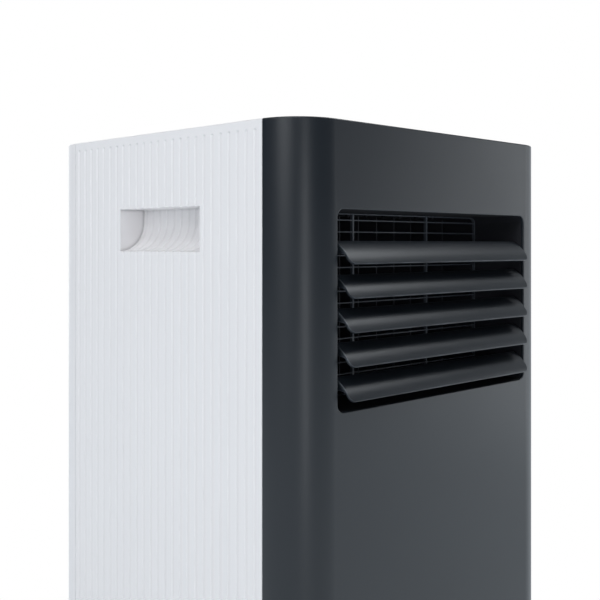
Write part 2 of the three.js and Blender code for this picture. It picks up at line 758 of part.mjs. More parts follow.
/** A plate at a blade's end that holds its pivot, and on the left its crank pin. */
function bladeEar(index, x0, x1, withCrank) {
  const arc = bladeMidline(index, 2);
  const middle = arc.from + (arc.to - arc.from) * 0.4;
  const rim = arcPoints(arc.centreY, arc.centreZ, arc.radius, middle, arc.to, 2);
  const z = pivotZ(index);
  const end = withCrank ? crankPinY : pivotY;
  const back = arcPoints(end, z, EAR_RADIUS, Math.PI / 2, -Math.PI / 2, 3);
  return prismX(outline([...rim, ...back, [pivotY - EAR_RADIUS * EAR_TOE, z - EAR_RADIUS]]), x0, x1);
}

function louvreBlade(index) {
  const z = pivotZ(index);
  const back = crankPinY + LINK_WIDTH;
  const plan = new THREE.Shape();
  const frontEdge = lipY - BLADE_THICKNESS;
  const wrap = BLADE_CORNER + BLADE_THICKNESS / 2;
  plan.moveTo(bladeLeft, back);
  plan.lineTo(bladeLeft, frontEdge + wrap);
  plan.absarc(bladeLeft + wrap, frontEdge + wrap, wrap, Math.PI, Math.PI * 1.5);
  plan.absarc(bladeRight - wrap, frontEdge + wrap, wrap, Math.PI * 1.5, Math.PI * 2);
  plan.lineTo(bladeRight, back);
  const strip = prismX(bladeSection(index), bladeLeft, bladeRight).intersect(prismZ(plan, z - 30, z + 30, 2));
  const pinEnd = throatHalf + DUCT_WALL - PIVOT_END_GAP;
  return join(
    strip,
    bladeEar(index, bladeLeft, bladeLeft + EAR_THICKNESS, true),
    bladeEar(index, bladeRight - EAR_THICKNESS, bladeRight, false),
    rod('x', PIVOT_RADIUS, -pinEnd, bladeLeft + 1, pivotY, z),
    rod('x', PIVOT_RADIUS, bladeRight - 1, pinEnd, pivotY, z),
    rod('x', CRANK_PIN_RADIUS, linkLeft + 0.1, bladeLeft + 1, crankPinY, z, 12),
  );
}

function bladeLink() {
  const half = LINK_WIDTH / 2;
  const bottom = pivotZ(BLADE_COUNT - 1) - half;
  const top = pivotZ(0) + LINK_TAIL;
  const upright = block(linkLeft, linkRight, crankPinY - half, crankPinY + half, bottom, top);
  const armPinY = crankPinY + MOTOR_ARM_OFFSET;
  const lug = join(
    block(linkLeft, linkRight, crankPinY, armPinY, motorZ - half, motorZ + half),
    rod('x', half, linkLeft, linkRight, armPinY, motorZ),
  );
  const bore = CRANK_PIN_RADIUS + RUNNING_GAP;
  let link = join(upright, lug);
  for (let index = 0; index < BLADE_COUNT; index += 1) {
    link = cut(link, rod('x', bore, linkLeft - 1, linkRight + 1, crankPinY, pivotZ(index)));
  }
  return cut(link, rod('x', bore, linkLeft - 1, linkRight + 1, armPinY, motorZ, 12));
}

function bladeCrank() {
  const half = LINK_WIDTH / 2;
  const armPinY = crankPinY + MOTOR_ARM_OFFSET;
  const shaftEnd = -throatHalf - DUCT_WALL - CRANK_SHAFT_REACH;
  return join(
    block(armLeft, armRight, motorPivotY, armPinY, motorZ - half, motorZ + half),
    rod('x', half, armLeft, armRight, motorPivotY, motorZ),
    rod('x', half, armLeft, armRight, armPinY, motorZ),
    rod('x', CRANK_PIN_RADIUS, armLeft + 0.5, linkRight + 0.3, armPinY, motorZ, 12),
    rod('x', PIVOT_RADIUS, shaftEnd, armRight - 0.5, motorPivotY, motorZ),
  );
}

/** A small swing motor with a round can, two lugs and a socket for its output shaft. */
function bladeMotor() {
  const face = -throatHalf - DUCT_WALL - GAP;
  const can = rod('x', SWING_MOTOR_RADIUS, face - SWING_MOTOR_LENGTH, face, motorPivotY, motorZ, 16);
  const lugs = block(
    face - MOTOR_LUG_THICKNESS,
    face,
    motorPivotY - MOTOR_LUG_HALF,
    motorPivotY + MOTOR_LUG_HALF,
    motorZ - MOTOR_LUG_REACH,
    motorZ + MOTOR_LUG_REACH,
  );
  const socket = rod('x', PIVOT_RADIUS + RUNNING_GAP, face - MOTOR_SOCKET, face + OVER, motorPivotY, motorZ);
  return cut(join(can, lugs), socket);
}

function guardGrille() {
  const back = guardFrontY + GUARD_THICKNESS;
  let guard = prismY(throatOutline(-COVER_GAP), guardFrontY, back);
  const edgeX = throatHalf - COVER_GAP - GUARD_BORDER;
  const edgeTop = THROAT_TOP - COVER_GAP - GUARD_BORDER;
  const edgeBottom = THROAT_BOTTOM + COVER_GAP + GUARD_BORDER;
  const barZ = (row) => THROAT_TOP - GUARD_FIRST_BAR - row * GUARD_BAR_PITCH;
  const columns = [
    [-edgeX, -guardRibX - GUARD_RIB_WIDTH / 2],
    [-guardRibX + GUARD_RIB_WIDTH / 2, guardRibX - GUARD_RIB_WIDTH / 2],
    [guardRibX + GUARD_RIB_WIDTH / 2, edgeX],
  ];
  for (let row = 0; row <= guardBarCount; row += 1) {
    const high = Math.min(edgeTop, barZ(row - 1) - GUARD_BAR_HEIGHT / 2);
    const low = Math.max(edgeBottom, barZ(row) + GUARD_BAR_HEIGHT / 2);
    if (high > low) {
      for (const [x0, x1] of columns) {
        guard = cut(guard, block(x0, x1, guardFrontY - 1, back + 1, low, high));
      }
    }
  }
  return guard;
}

// ---- Vanes ---------------------------------------------------------------------------------

function vane(index) {
  const x = vaneX(index);
  const armBottom = THROAT_BOTTOM + VANE_FOOT;
  const plateBottom = armBottom + VANE_ARM_THICKNESS;
  const plateTop = THROAT_TOP - VANE_HEAD;
  const half = VANE_THICKNESS / 2;
  const halfArm = VANE_ARM_WIDTH / 2;
  const pinBottom = THROAT_BOTTOM - DUCT_WALL - (index === 0 ? VANE_DRIVE_PIN : -PIVOT_END_GAP);
  return join(
    block(x - half, x + half, vaneFrontY, vaneFrontY + VANE_CHORD, plateBottom - 0.5, plateTop),
    block(x - halfArm, x + halfArm, vanePivotY - halfArm, vaneCrankY + halfArm, armBottom, plateBottom),
    rod('z', PIVOT_RADIUS, pinBottom, plateBottom, x, vanePivotY),
    rod('z', PIVOT_RADIUS, plateTop - 1, THROAT_TOP + DUCT_WALL - PIVOT_END_GAP, x, vanePivotY),
    rod('z', CRANK_PIN_RADIUS, THROAT_BOTTOM + VANE_CRANK_PIN_RISE, plateBottom, x, vaneCrankY, 12),
  );
}

function vaneLink() {
  const top = THROAT_BOTTOM + VANE_FOOT - GAP - VANE_LINK_DROP;
  const bottom = top - VANE_LINK_THICKNESS;
  const half = VANE_LINK_WIDTH / 2;
  const reach = vaneX(VANE_COUNT - 1) + half + 1;
  let link = block(-reach, reach, vaneCrankY - half, vaneCrankY + half, bottom, top);
  for (let index = 0; index < VANE_COUNT; index += 1) {
    const hole = rod('z', CRANK_PIN_RADIUS + RUNNING_GAP, bottom - 1, top + 1, vaneX(index), vaneCrankY);
    link = cut(link, hole);
  }
  return link;
}

function vaneMotor() {
  const face = THROAT_BOTTOM - DUCT_WALL - GAP;
  const x = vaneX(0);
  const can = rod('z', SWING_MOTOR_RADIUS, face - SWING_MOTOR_LENGTH, face, x, vanePivotY, 16);
  const lugs = block(
    x - MOTOR_LUG_REACH,
    x + MOTOR_LUG_REACH,
    vanePivotY - MOTOR_LUG_HALF,
    vanePivotY + MOTOR_LUG_HALF,
    face - MOTOR_LUG_THICKNESS,
    face,
  );
  const socket = rod('z', PIVOT_RADIUS + RUNNING_GAP, face - MOTOR_SOCKET, face + OVER, x, vanePivotY);
  return cut(join(can, lugs), socket);
}

// ---- Back ----------------------------------------------------------------------------------

/** Two columns of level slots through the back, from a lowest row up. */
function slotRows(x, length, height, bottom, pitch, rows) {
  const slots = [];
  for (let row = 0; row < rows; row += 1) {
    const z = bottom + row * pitch;
    for (const side of [-1, 1]) {
      const left = side * x - length / 2;
      slots.push(block(left, left + length, coverInner - 1, halfDepth + 1, z, z + height));
    }
  }
  return slots;
}

function backCover() {
  const doorHalf = DOOR_WIDTH / 2 + COVER_GAP;
  const window = block(
    -doorHalf,
    doorHalf,
    coverInner - 1,
    halfDepth + 1,
    DOOR_BOTTOM - DOOR_SWEEP_GAP,
    DOOR_TOP + COVER_GAP,
  );
  const intake = slotRows(
    INTAKE_LENGTH / 2 + SLOT_SPLIT,
    INTAKE_LENGTH,
    INTAKE_HEIGHT,
    INTAKE_BOTTOM,
    INTAKE_PITCH,
    INTAKE_ROWS,
  );
  const collarHole = rod(
    'y',
    COLLAR_INNER_RADIUS + COLLAR_WALL + COVER_GAP,
    coverInner - 1,
    halfDepth + 1,
    COLLAR_X,
    COLLAR_Z,
    32,
  );
  const drainRadius = DRAIN_RADIUS + DRAIN_HOLE_MARGIN;
  const drainHole = rod('y', drainRadius, coverInner - 1, halfDepth + 1, DRAIN_X, DRAIN_Z);
  const inletRadius = INLET_BORE + INLET_HOLE_MARGIN;
  const inletHole = rod('y', inletRadius, coverInner - 1, halfDepth + 1, INLET_X, INLET_Z);
  let cover = cut(wrapCover(1), window, ...intake, collarHole, drainHole, inletHole);
  for (const side of [-1, 1]) {
    const boss = block(
      side * (doorHalf + HINGE_BOSS.gap),
      side * (doorHalf + HINGE_BOSS.reach),
      coverInner - HINGE_BOSS.depth,
      coverInner + OVER,
      hingeZ - HINGE_BOSS.half,
      hingeZ + HINGE_BOSS.half,
    );
    const holeEnd = side * (doorHalf + HINGE_BOSS.reach + OVER);
    const hole = rod('x', HINGE_PIN_RADIUS + RUNNING_GAP, side * doorHalf, holeEnd, hingeY, hingeZ, 12);
    const railInner = side * (DOOR_WIDTH / 2 + COVER_GAP);
    const railOuter = side * (DOOR_WIDTH / 2 + RAIL_WIDTH);
    const railFront = filterFrontY - RAIL_LIP;
    const railBottom = hingeZ + RAIL_RISE;
    const rail = block(railInner, railOuter, railFront, coverInner + OVER, railBottom, DOOR_TOP);
    const lipInner = side * (DOOR_WIDTH / 2 - RAIL_WIDTH);
    const lip = block(lipInner, railOuter, railFront, filterFrontY - GAP, railBottom, DOOR_TOP);
    cover = join(cover, cut(boss, hole), rail, lip);
  }
  return cover;
}

function filterDoor() {
  const half = DOOR_WIDTH / 2;
  const plate = block(-half, half, coverInner, halfDepth, DOOR_BOTTOM, DOOR_TOP);
  const slots = slotRows(
    DOOR_SLOT_LENGTH / 2 + SLOT_SPLIT,
    DOOR_SLOT_LENGTH,
    DOOR_SLOT_HEIGHT,
    DOOR_BOTTOM + DOOR_SLOT_RISE,
    DOOR_SLOT_PITCH,
    DOOR_SLOT_COUNT,
  );
  const notchZ = DOOR_TOP + DOOR_NOTCH_RISE;
  const notch = rod('y', DOOR_NOTCH_RADIUS, coverInner - 1, halfDepth + 1, 0, notchZ, 16);
  let door = cut(plate, ...slots, notch);
  for (const side of [-1, 1]) {
    const lug = block(
      side * (half - DOOR_LUG_LENGTH),
      side * half,
      hingeY - DOOR_LUG_HALF,
      coverInner + OVER,
      hingeZ - DOOR_LUG_HALF,
      hingeZ + DOOR_LUG_HALF,
    );
    const pinEnd = side * (half + HINGE_PIN_REACH);
    const pin = rod('x', HINGE_PIN_RADIUS, side * (half - OVER), pinEnd, hingeY, hingeZ, 12);
    door = join(door, lug, pin);
  }
  return door;
}

function airFilter() {
  const half = DOOR_WIDTH / 2 - 2 * COVER_GAP;
  const bottom = hingeZ + RAIL_RISE + OVER;
  const top = DOOR_TOP - FILTER_RIM;
  const back = filterFrontY + FILTER_THICKNESS;
  let filter = block(-half, half, filterFrontY, back, bottom, top);
  const bay = (2 * half - FILTER_RIM) / FILTER_COLUMNS;
  const tier = (top - bottom - FILTER_RIM) / FILTER_ROWS;
  for (let column = 0; column < FILTER_COLUMNS; column += 1) {
    for (let row = 0; row < FILTER_ROWS; row += 1) {
      const x = -half + FILTER_RIM + column * bay;
      const z = bottom + FILTER_RIM + row * tier;
      const skin = filterFrontY + FILTER_SKIN;
      filter = cut(filter, block(x, x + bay - FILTER_RIM, skin, back + 1, z, z + tier - FILTER_RIM));
    }
  }
  return filter;
}

function exhaustCollar() {
  const outer = COLLAR_INNER_RADIUS + COLLAR_WALL;
  const flangeOuter = outer + COLLAR_FLANGE;
  const inside = coverInner - COLLAR_INSIDE + 2;
  const face = halfDepth + GAP;
  const profile = [
    [COLLAR_INNER_RADIUS, inside],
    [outer, inside],
    [outer, face],
    [flangeOuter, face],
    [flangeOuter, face + COLLAR_FLANGE_THICKNESS],
    [outer, face + COLLAR_FLANGE_THICKNESS],
    [outer, halfDepth + COLLAR_PROUD],
    [COLLAR_INNER_RADIUS, halfDepth + COLLAR_PROUD],
    [COLLAR_INNER_RADIUS, inside],
  ];
  return turned('y', profile, COLLAR_X, COLLAR_Z, 32);
}

function drainPlug() {
  const face = halfDepth + GAP;
  const { length, taper, nose, flange, thickness, pull, height } = DRAIN_PLUG;
  const profile = [
    [0, coverInner - length],
    [DRAIN_RADIUS - nose, coverInner - length],
    [DRAIN_RADIUS, coverInner - length + taper],
    [DRAIN_RADIUS, face],
    [flange, face],
    [flange, face + thickness],
    [pull, face + thickness],
    [pull, face + height],
    [0, face + height],
  ];
  return turned('y', profile, DRAIN_X, DRAIN_Z, 12);
}

function cordInlet() {
  const face = halfDepth + GAP;
  const barrel = INLET_BORE + INLET_WALL;
  const inside = coverInner - 2;
  const profile = [
    [INLET_BORE, inside],
    [barrel, inside],
    [barrel, face],
    [barrel + INLET_NOSE.flange, face],
    [barrel + INLET_NOSE.shoulder, face + INLET_NOSE.shoulderRise],
    [INLET_BORE + INLET_NOSE.tip, face + INLET_NOSE.tipRise],
    [INLET_BORE, face + INLET_NOSE.tipRise],
    [INLET_BORE, inside],
  ];
  return turned('y', profile, INLET_X, INLET_Z, 12);
}

// ---- Base and casters ----------------------------------------------------------------------

const CASTERS = [
  { name: 'front_left', x: CASTER_INSET - halfWidth, y: CASTER_INSET - halfDepth },
  { name: 'front_right', x: halfWidth - CASTER_INSET, y: CASTER_INSET - halfDepth },
  { name: 'back_left', x: CASTER_INSET - halfWidth, y: halfDepth - CASTER_INSET },
  { name: 'back_right', x: halfWidth - CASTER_INSET, y: halfDepth - CASTER_INSET },
];

function basePan() {
  let pan = cut(
    casingSlab(BASE_INSET, BASE_FLOOR, BASE_TOP),
    casingSlab(BASE_INSET + BASE_WALL, BASE_FLOOR + BASE_WALL, BASE_TOP + 1),
  );
  const spoutY = halfDepth - BASE_INSET;
  const bossTop = BASE_FLOOR + BASE_WALL + STEM_BOSS_HEIGHT;
  for (const caster of CASTERS) {
    pan = join(pan, rod('z', STEM_BOSS_RADIUS, BASE_FLOOR, bossTop, caster.x, caster.y, 12));
    pan = cut(pan, rod('z', STEM_RADIUS + RUNNING_GAP, BASE_FLOOR - 1, bossTop + 1, caster.x, caster.y));
  }
  pan = join(pan, rod('y', DRAIN_RADIUS + DRAIN_SPOUT_WALL, spoutY - 8, coverInner - GAP, DRAIN_X, DRAIN_Z));
  return cut(pan, rod('y', DRAIN_RADIUS + RUNNING_GAP, spoutY - 9, halfDepth, DRAIN_X, DRAIN_Z));
}

/** The fork's cheek, a tapered plate from the top disc down round the axle. */
function cheek(x, y, side) {
  const inner = side * (WHEEL_WIDTH / 2 + WHEEL_SIDE_GAP);
  const outer = inner + side * CHEEK_THICKNESS;
  const axleY = y + CASTER_TRAIL;
  const round = arcPoints(axleY, WHEEL_RADIUS, CHEEK_ROUND, Math.PI * 1.1, Math.PI * 2.1, 4);
  const top = BASE_FLOOR - FORK_DISC_DROP - 2;
  const shape = outline([[y - CHEEK_BACK, top], ...round, [y + CHEEK_FRONT, top]]);
  return prismX(shape, x + Math.min(inner, outer), x + Math.max(inner, outer));
}

function casterFork({ x, y }) {
  const discTop = BASE_FLOOR - FORK_DISC_DROP;
  const discBottom = discTop - FORK_DISC_THICKNESS;
  const ringBottom = BASE_FLOOR + BASE_WALL + STEM_BOSS_HEIGHT + RUNNING_GAP;
  const reach = WHEEL_WIDTH / 2 + WHEEL_SIDE_GAP + CHEEK_THICKNESS + AXLE_REACH;
  return join(
    rod('z', FORK_DISC_RADIUS, discBottom, discTop, x, y, 12),
    rod('z', STEM_RADIUS, discTop - OVER, ringBottom + STEM_RING_HEIGHT + 1, x, y),
    rod('z', STEM_RADIUS + STEM_RING, ringBottom, ringBottom + STEM_RING_HEIGHT, x, y),
    cheek(x, y, -1),
    cheek(x, y, 1),
    rod('x', AXLE_RADIUS, x - reach, x + reach, y + CASTER_TRAIL, WHEEL_RADIUS),
  );
}

function casterWheel({ x, y }) {
  const half = WHEEL_WIDTH / 2;
  const bore = AXLE_RADIUS + RUNNING_GAP;
  const profile = [
    [bore, -half],
    [WHEEL_RADIUS - WHEEL_BEVEL, -half],
    [WHEEL_RADIUS, -half + WHEEL_BEVEL],
    [WHEEL_RADIUS, half - WHEEL_BEVEL],
    [WHEEL_RADIUS - WHEEL_BEVEL, half],
    [bore, half],
    [bore, -half],
  ];
  const wheel = turned('y', profile, 0, 0, 20);
  return wheel.rotate([0, 0, 90]).translate([x, y + CASTER_TRAIL, WHEEL_RADIUS]);
}

// ---- Fans ----------------------------------------------------------------------------------

/** A drum fan wheel on an axis along Y: a back disc, a front ring, blades and a hub. */
function fanWheel(fan, motor) {
  const front = fan.front + FAN.frontGap;
  const back = fan.back - FAN.backGap;
  const inner = fan.wheel - FAN.rim;
  let wheel = join(
    rod('y', fan.wheel, front, front + FAN.disc, fan.x, fan.z, fan.blades),
    rod('y', motor.shaft + FAN.hub, front + OVER, front + FAN.hubLength, fan.x, fan.z, 12),
  );
  const ring = cut(
    rod('y', fan.wheel, back - FAN.disc, back, fan.x, fan.z, fan.blades),
    rod('y', inner, back - FAN.disc - OVER, back + OVER, fan.x, fan.z, fan.blades),
  );
  wheel = join(wheel, ring);
  for (let blade = 0; blade < fan.blades; blade += 1) {
    const angle = 360 * blade / fan.blades;
    const fin = block(
      inner + FAN.play,
      fan.wheel - FAN.play,
      front + 2,
      back - 2,
      -FAN.blade / 2,
      FAN.blade / 2,
    );
    wheel = join(wheel, fin.rotate([0, angle, 0]).translate([fan.x, 0, fan.z]));
  }
  const boreEnd = front + FAN.hubLength + OVER;
  return cut(wheel, rod('y', motor.shaft + RUNNING_GAP, front - OVER, boreEnd, fan.x, fan.z));
}

function fanMotor(fan, motor) {
  const face = fan.front - GAP - FAN_MOTOR.gap;
  const canBack = face - motor.length;
  return join(
    rod('y', motor.radius, canBack, face, fan.x, fan.z, 16),
    rod('y', motor.radius - FAN_MOTOR.cap, canBack - FAN_MOTOR.capLength, face - OVER, fan.x, fan.z, 16),
    rod('y', motor.shaft, face - OVER, fan.front + FAN_MOTOR.shaftReach, fan.x, fan.z),
  );
}

/** The inlet at the back of a blower, and the hole for its motor's shaft at the front. */
function blowerHoles(fan) {
  return [
    rod('y', fan.inlet, fan.back - 5, fan.back + 1, fan.x, fan.z, 24),
    rod('y', SHAFT_HOLE_RADIUS, fan.front - 1, fan.front + 5, fan.x, fan.z),
  ];
}

/** The evaporator's blower: a round housing whose tower meets the outlet duct. */
function coldBlower() {
  const front = DUCT_BACK_Y + GAP;
  const inner = COLD_FAN.back - DUCT_WALL;
  const outer = join(
    prismY(throatOutline(DUCT_WALL), front, COLD_FAN.back),
    rod('y', COLD_FAN.housing, COLD_FAN.front, COLD_FAN.back, COLD_FAN.x, COLD_FAN.z, 24),
  );
  const hollow = join(
    prismY(throatOutline(0), front - 1, inner),
    rod('y', COLD_FAN.housing - DUCT_WALL, COLD_FAN.front + DUCT_WALL, inner, COLD_FAN.x, COLD_FAN.z, 24),
  );
  return cut(outer, hollow, ...blowerHoles(COLD_FAN));
}

/** The condenser's blower: a round housing under a plenum that leads to the hose collar. */
function hotBlower() {
  const shell = (inset) => join(
    block(
      PLENUM.x0 + inset,
      PLENUM.x1 - inset,
      HOT_FAN.front + inset,
      PLENUM.back - inset,
      PLENUM.z0 + inset,
      PLENUM.z1 - inset,
    ),
    rod('y', HOT_FAN.housing - inset, HOT_FAN.front + inset, HOT_FAN.back - inset, HOT_FAN.x, HOT_FAN.z, 24),
  );
  const outletRadius = COLLAR_INNER_RADIUS - PLENUM_OUTLET_INSET;
  const outlet = rod('y', outletRadius, PLENUM.back - 5, PLENUM.back + 1, COLLAR_X, COLLAR_Z, 24);
  return cut(shell(0), shell(DUCT_WALL), ...blowerHoles(HOT_FAN), outlet);
}

// ---- Refrigeration -------------------------------------------------------------------------

/** A finned coil: a block of fins between two end plates, with a header pipe at its left. */
function coil(bottom, top) {
  const back = COIL_FRONT + COIL_THICKNESS;
  const plates = [-1, 1].map((side) => block(
    side * (coilHalfWidth - COIL_END.overlap),
    side * (coilHalfWidth + COIL_END.thickness),
    COIL_FRONT - COIL_END.reach,
    back + COIL_END.reach,
    bottom,
    top,
  ));
  const headerY = COIL_FRONT + HEADER.setback;
  return join(
    block(-coilHalfWidth, coilHalfWidth, COIL_FRONT, back, bottom, top),
    ...plates,
    rod('z', PIPE_RADIUS, bottom + HEADER.endGap, top - HEADER.endGap, headerX, headerY),
  );
}

function compressor() {
  const { x, y, radius, bottom, top } = COMPRESSOR;
  const shell = [
    [0, bottom],
    [radius - 14, bottom],
    [radius - 4, bottom + 6],
    [radius, bottom + 18],
    [radius, top - 22],
    [radius - 4, top - 8],
    [radius - 16, top],
    [0, top],
  ];
  const can = turned('z', shell, x, y, 20);
  const plateBottom = bottom - COMPRESSOR_PLATE.drop;
  const plate = rod('z', radius + COMPRESSOR_PLATE.reach, plateBottom, bottom + OVER, x, y, 20);
  let body = join(can, plate);
  const footReach = radius - COMPRESSOR_FOOT.inset;
  const footBottom = BASE_FLOOR + BASE_WALL + GAP;
  for (let foot = 0; foot < COMPRESSOR_FOOT.count; foot += 1) {
    const angle = Math.PI * (0.5 + 2 * foot / COMPRESSOR_FOOT.count);
    const footX = x + footReach * Math.cos(angle);
    const footY = y + footReach * Math.sin(angle);
    body = join(body, rod('z', COMPRESSOR_FOOT.radius, footBottom, bottom - 2, footX, footY));
  }
  const bottle = rod(
    'z',
    ACCUMULATOR.radius,
    ACCUMULATOR.bottom,
    ACCUMULATOR.top,
    ACCUMULATOR.x,
    ACCUMULATOR.y,
    12,
  );
  const strapZ = (ACCUMULATOR.bottom + ACCUMULATOR.top) / 2;
  const strapFront = ACCUMULATOR.y - STRAP.half;
  const strapBack = ACCUMULATOR.y + STRAP.half;
  const strap = block(ACCUMULATOR.x, x, strapFront, strapBack, strapZ, strapZ + STRAP.height);
  return join(body, bottle, strap);
}

function suctionPipe() {
  const start = ACCUMULATOR.top + GAP;
  const points = [
    [ACCUMULATOR.x, ACCUMULATOR.y, start],
    [ACCUMULATOR.x, ACCUMULATOR.y, start + 40],
    [ACCUMULATOR.x - 8, 0, start + 85],
    [riserX, PIPE_RISER_Y - 10, DECK_FLOOR - 20],
    [riserX, PIPE_RISER_Y, DECK_FLOOR + 10],
    [riserX, PIPE_RISER_Y + 6, DECK_FLOOR + 60],
    [riserX + 4, COIL_FRONT, DECK_FLOOR + 100],
    [headerX - 2 * PIPE_RADIUS - GAP, COIL_FRONT + HEADER.setback, DECK_FLOOR + 130],
  ];
  return bar(points, PIPE_RADIUS, PIPE_STEPS);
}

function midDeck() {
  const tray = cut(
    casingSlab(DECK_INSET, DECK_FLOOR, DECK_FLOOR + DECK_RIM),
    casingSlab(DECK_INSET + BASE_WALL, DECK_FLOOR + BASE_WALL, DECK_FLOOR + DECK_RIM + 1),
  );
  const holeRadius = PIPE_RADIUS + PIPE_HOLE_GAP;
  return cut(tray, rod('z', holeRadius, DECK_FLOOR - 1, DECK_FLOOR + 5, riserX, PIPE_RISER_Y));
}

function controlBox() {
  const x1 = halfWidth - CONTROL_BOX.sideGap;
  const x0 = x1 - CONTROL_BOX.width;
  const y0 = CONTROL_BOX.front;
  const y1 = y0 + CONTROL_BOX.depth;
  const z0 = CONTROL_BOX.bottom;
  const z1 = z0 + CONTROL_BOX.height;
  const { inset, radius, proud, overlap } = CONTROL_LID;
  const box = prismX(roundedRectangle(y0, y1, z0, z1, radius), x0, x1);
  const rim = roundedRectangle(y0 + inset, y1 - inset, z0 + inset, z1 - inset, radius);
  const lid = prismX(rim, x0 - proud, x0 + overlap);
  const wall = BASE_WALL;
  const hollow = block(x0 + wall, x1 + 1, y0 + wall, y1 - wall, z0 + wall, z1 - wall);
  return cut(join(box, lid), hollow);
}

// ---- Assembly ------------------------------------------------------------------------------

addPiece('front_cover', frontCover(), 'charcoal');
addPiece('back_cover', backCover(), 'white');
addPiece('side_panel_left', sidePanel(-1), 'white');
addPiece('side_panel_right', sidePanel(1), 'white');
addPiece('top_cover', topCover(), 'charcoal');
addPiece('base_pan', basePan(), 'black');

addPiece('control_panel', controlPanel(), 'gloss');
addPiece('display_window', displayWindow(), 'gloss');
addPiece('display_board', displayBoard(), 'board');
BUTTON_NAMES.forEach((name, index) => {
  addPiece(`button_${name}`, button(index), 'charcoal');
});

addPiece('outlet_duct', outletDuct(), 'black');
addPiece('guard_grille', guardGrille(), 'black');
for (let index = 0; index < BLADE_COUNT; index += 1) {
  addPiece(`louvre_blade_${index + 1}`, louvreBlade(index), 'charcoal');
}
addPiece('blade_link', bladeLink(), 'black');
addPiece('blade_crank', bladeCrank(), 'black');
addPiece('blade_motor', bladeMotor(), 'steel');
for (let index = 0; index < VANE_COUNT; index += 1) {
  addPiece(`vane_${index + 1}`, vane(index), 'black');
}
addPiece('vane_link', vaneLink(), 'black');
addPiece('vane_motor', vaneMotor(), 'steel');

addPiece('filter_door', filterDoor(), 'white');
addPiece('air_filter', airFilter(), 'mesh');
addPiece('exhaust_collar', exhaustCollar(), 'charcoal');
addPiece('drain_plug', drainPlug(), 'rubber');
addPiece('cord_inlet', cordInlet(), 'rubber');

for (const caster of CASTERS) {
  addPiece(`caster_fork_${caster.name}`, casterFork(caster), 'grey');
  addPiece(`caster_wheel_${caster.name}`, casterWheel(caster), 'rubber');
}

addPiece('evaporator_blower_housing', coldBlower(), 'foam');
addPiece('evaporator_fan', fanWheel(COLD_FAN, COLD_MOTOR), 'black');
addPiece('evaporator_fan_motor', fanMotor(COLD_FAN, COLD_MOTOR), 'steel');
addPiece('evaporator_coil', coil(DECK_FLOOR + BASE_WALL + GAP, COLD_COIL_TOP), 'aluminium');
addPiece('exhaust_blower_housing', hotBlower(), 'foam');
addPiece('exhaust_fan', fanWheel(HOT_FAN, HOT_MOTOR), 'black');
addPiece('exhaust_fan_motor', fanMotor(HOT_FAN, HOT_MOTOR), 'steel');
addPiece('condenser_coil', coil(BASE_FLOOR + BASE_WALL + GAP, HOT_COIL_TOP), 'aluminium');
addPiece('compressor', compressor(), 'enamel');
addPiece('suction_pipe', suctionPipe(), 'copper');
addPiece('mid_deck', midDeck(), 'steel');
addPiece('control_box', controlBox(), 'steel');

export default group;
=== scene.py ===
"""Looks of a portable air conditioner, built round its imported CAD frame.

Sizes are in millimetres, as in the part's source, and turn into metres as a mesh is made.
The front faces -Y, the left side faces -X, and the floor is at height zero.
"""

import logging
import math
from collections.abc import Callable, Iterable, Sequence
from dataclasses import dataclass, replace
from enum import Enum

import bmesh
import bpy
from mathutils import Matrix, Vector


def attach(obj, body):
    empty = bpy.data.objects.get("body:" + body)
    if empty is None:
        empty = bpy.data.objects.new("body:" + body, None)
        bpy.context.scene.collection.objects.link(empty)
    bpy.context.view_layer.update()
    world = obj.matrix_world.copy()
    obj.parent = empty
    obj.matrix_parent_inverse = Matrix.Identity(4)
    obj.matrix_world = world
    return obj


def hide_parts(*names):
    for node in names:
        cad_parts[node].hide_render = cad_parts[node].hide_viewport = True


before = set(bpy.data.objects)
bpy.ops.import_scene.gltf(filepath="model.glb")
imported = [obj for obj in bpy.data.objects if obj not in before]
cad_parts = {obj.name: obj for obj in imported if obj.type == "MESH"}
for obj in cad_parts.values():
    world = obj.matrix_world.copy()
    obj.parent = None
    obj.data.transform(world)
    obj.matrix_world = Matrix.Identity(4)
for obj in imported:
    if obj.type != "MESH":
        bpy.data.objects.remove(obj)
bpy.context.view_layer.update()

LOG = logging.getLogger("air_conditioner")

MM = 0.001
CASING_BODY = "casing"
SIDES = (-1, 1)

Point = tuple[float, float]
Place = tuple[float, float, float]
Colour = tuple[float, float, float]
Outline = Callable[[float], list[Point]]
Verts = list[bmesh.types.BMVert]
Socket = bpy.types.NodeSocket


# ---- Outlines ------------------------------------------------------------------------------

# Angles, in radians, of the points round a rim: coarse, usual and fine.
COARSE_TURN = (0, 0.52, 1.05, 1.57)
TURN = (0, 0.4, 0.8, 1.2, 1.57)
FINE_TURN = (0, 0.31, 0.63, 0.94, 1.26, 1.57)

# The sharpest corner that an outline let in by a distance keeps.
LEAST_CORNER = 0.02
# How much further a polygon's corners are drawn in than its sides.
CORNER_DRAW = 1.2


class Plane(Enum):
    """The plane an outline is drawn in; depth runs along the axis left over."""

    XY = (0, 1, 2)
    XZ = (0, 2, 1)
    YZ = (1, 2, 0)

    def place(self, across: float, up: float, depth: float) -> Vector:
        """A point of the plane, at a depth along its axis.

        Args:
            across: Distance along the plane's first axis.
            up: Distance along its second axis.
            depth: Distance along the axis left over.

        Returns:
            The point, in the units given.
        """
        spot = [0.0, 0.0, 0.0]
        for axis, size in zip(self.value, (across, up, depth)):
            spot[axis] = size
        return Vector(spot)


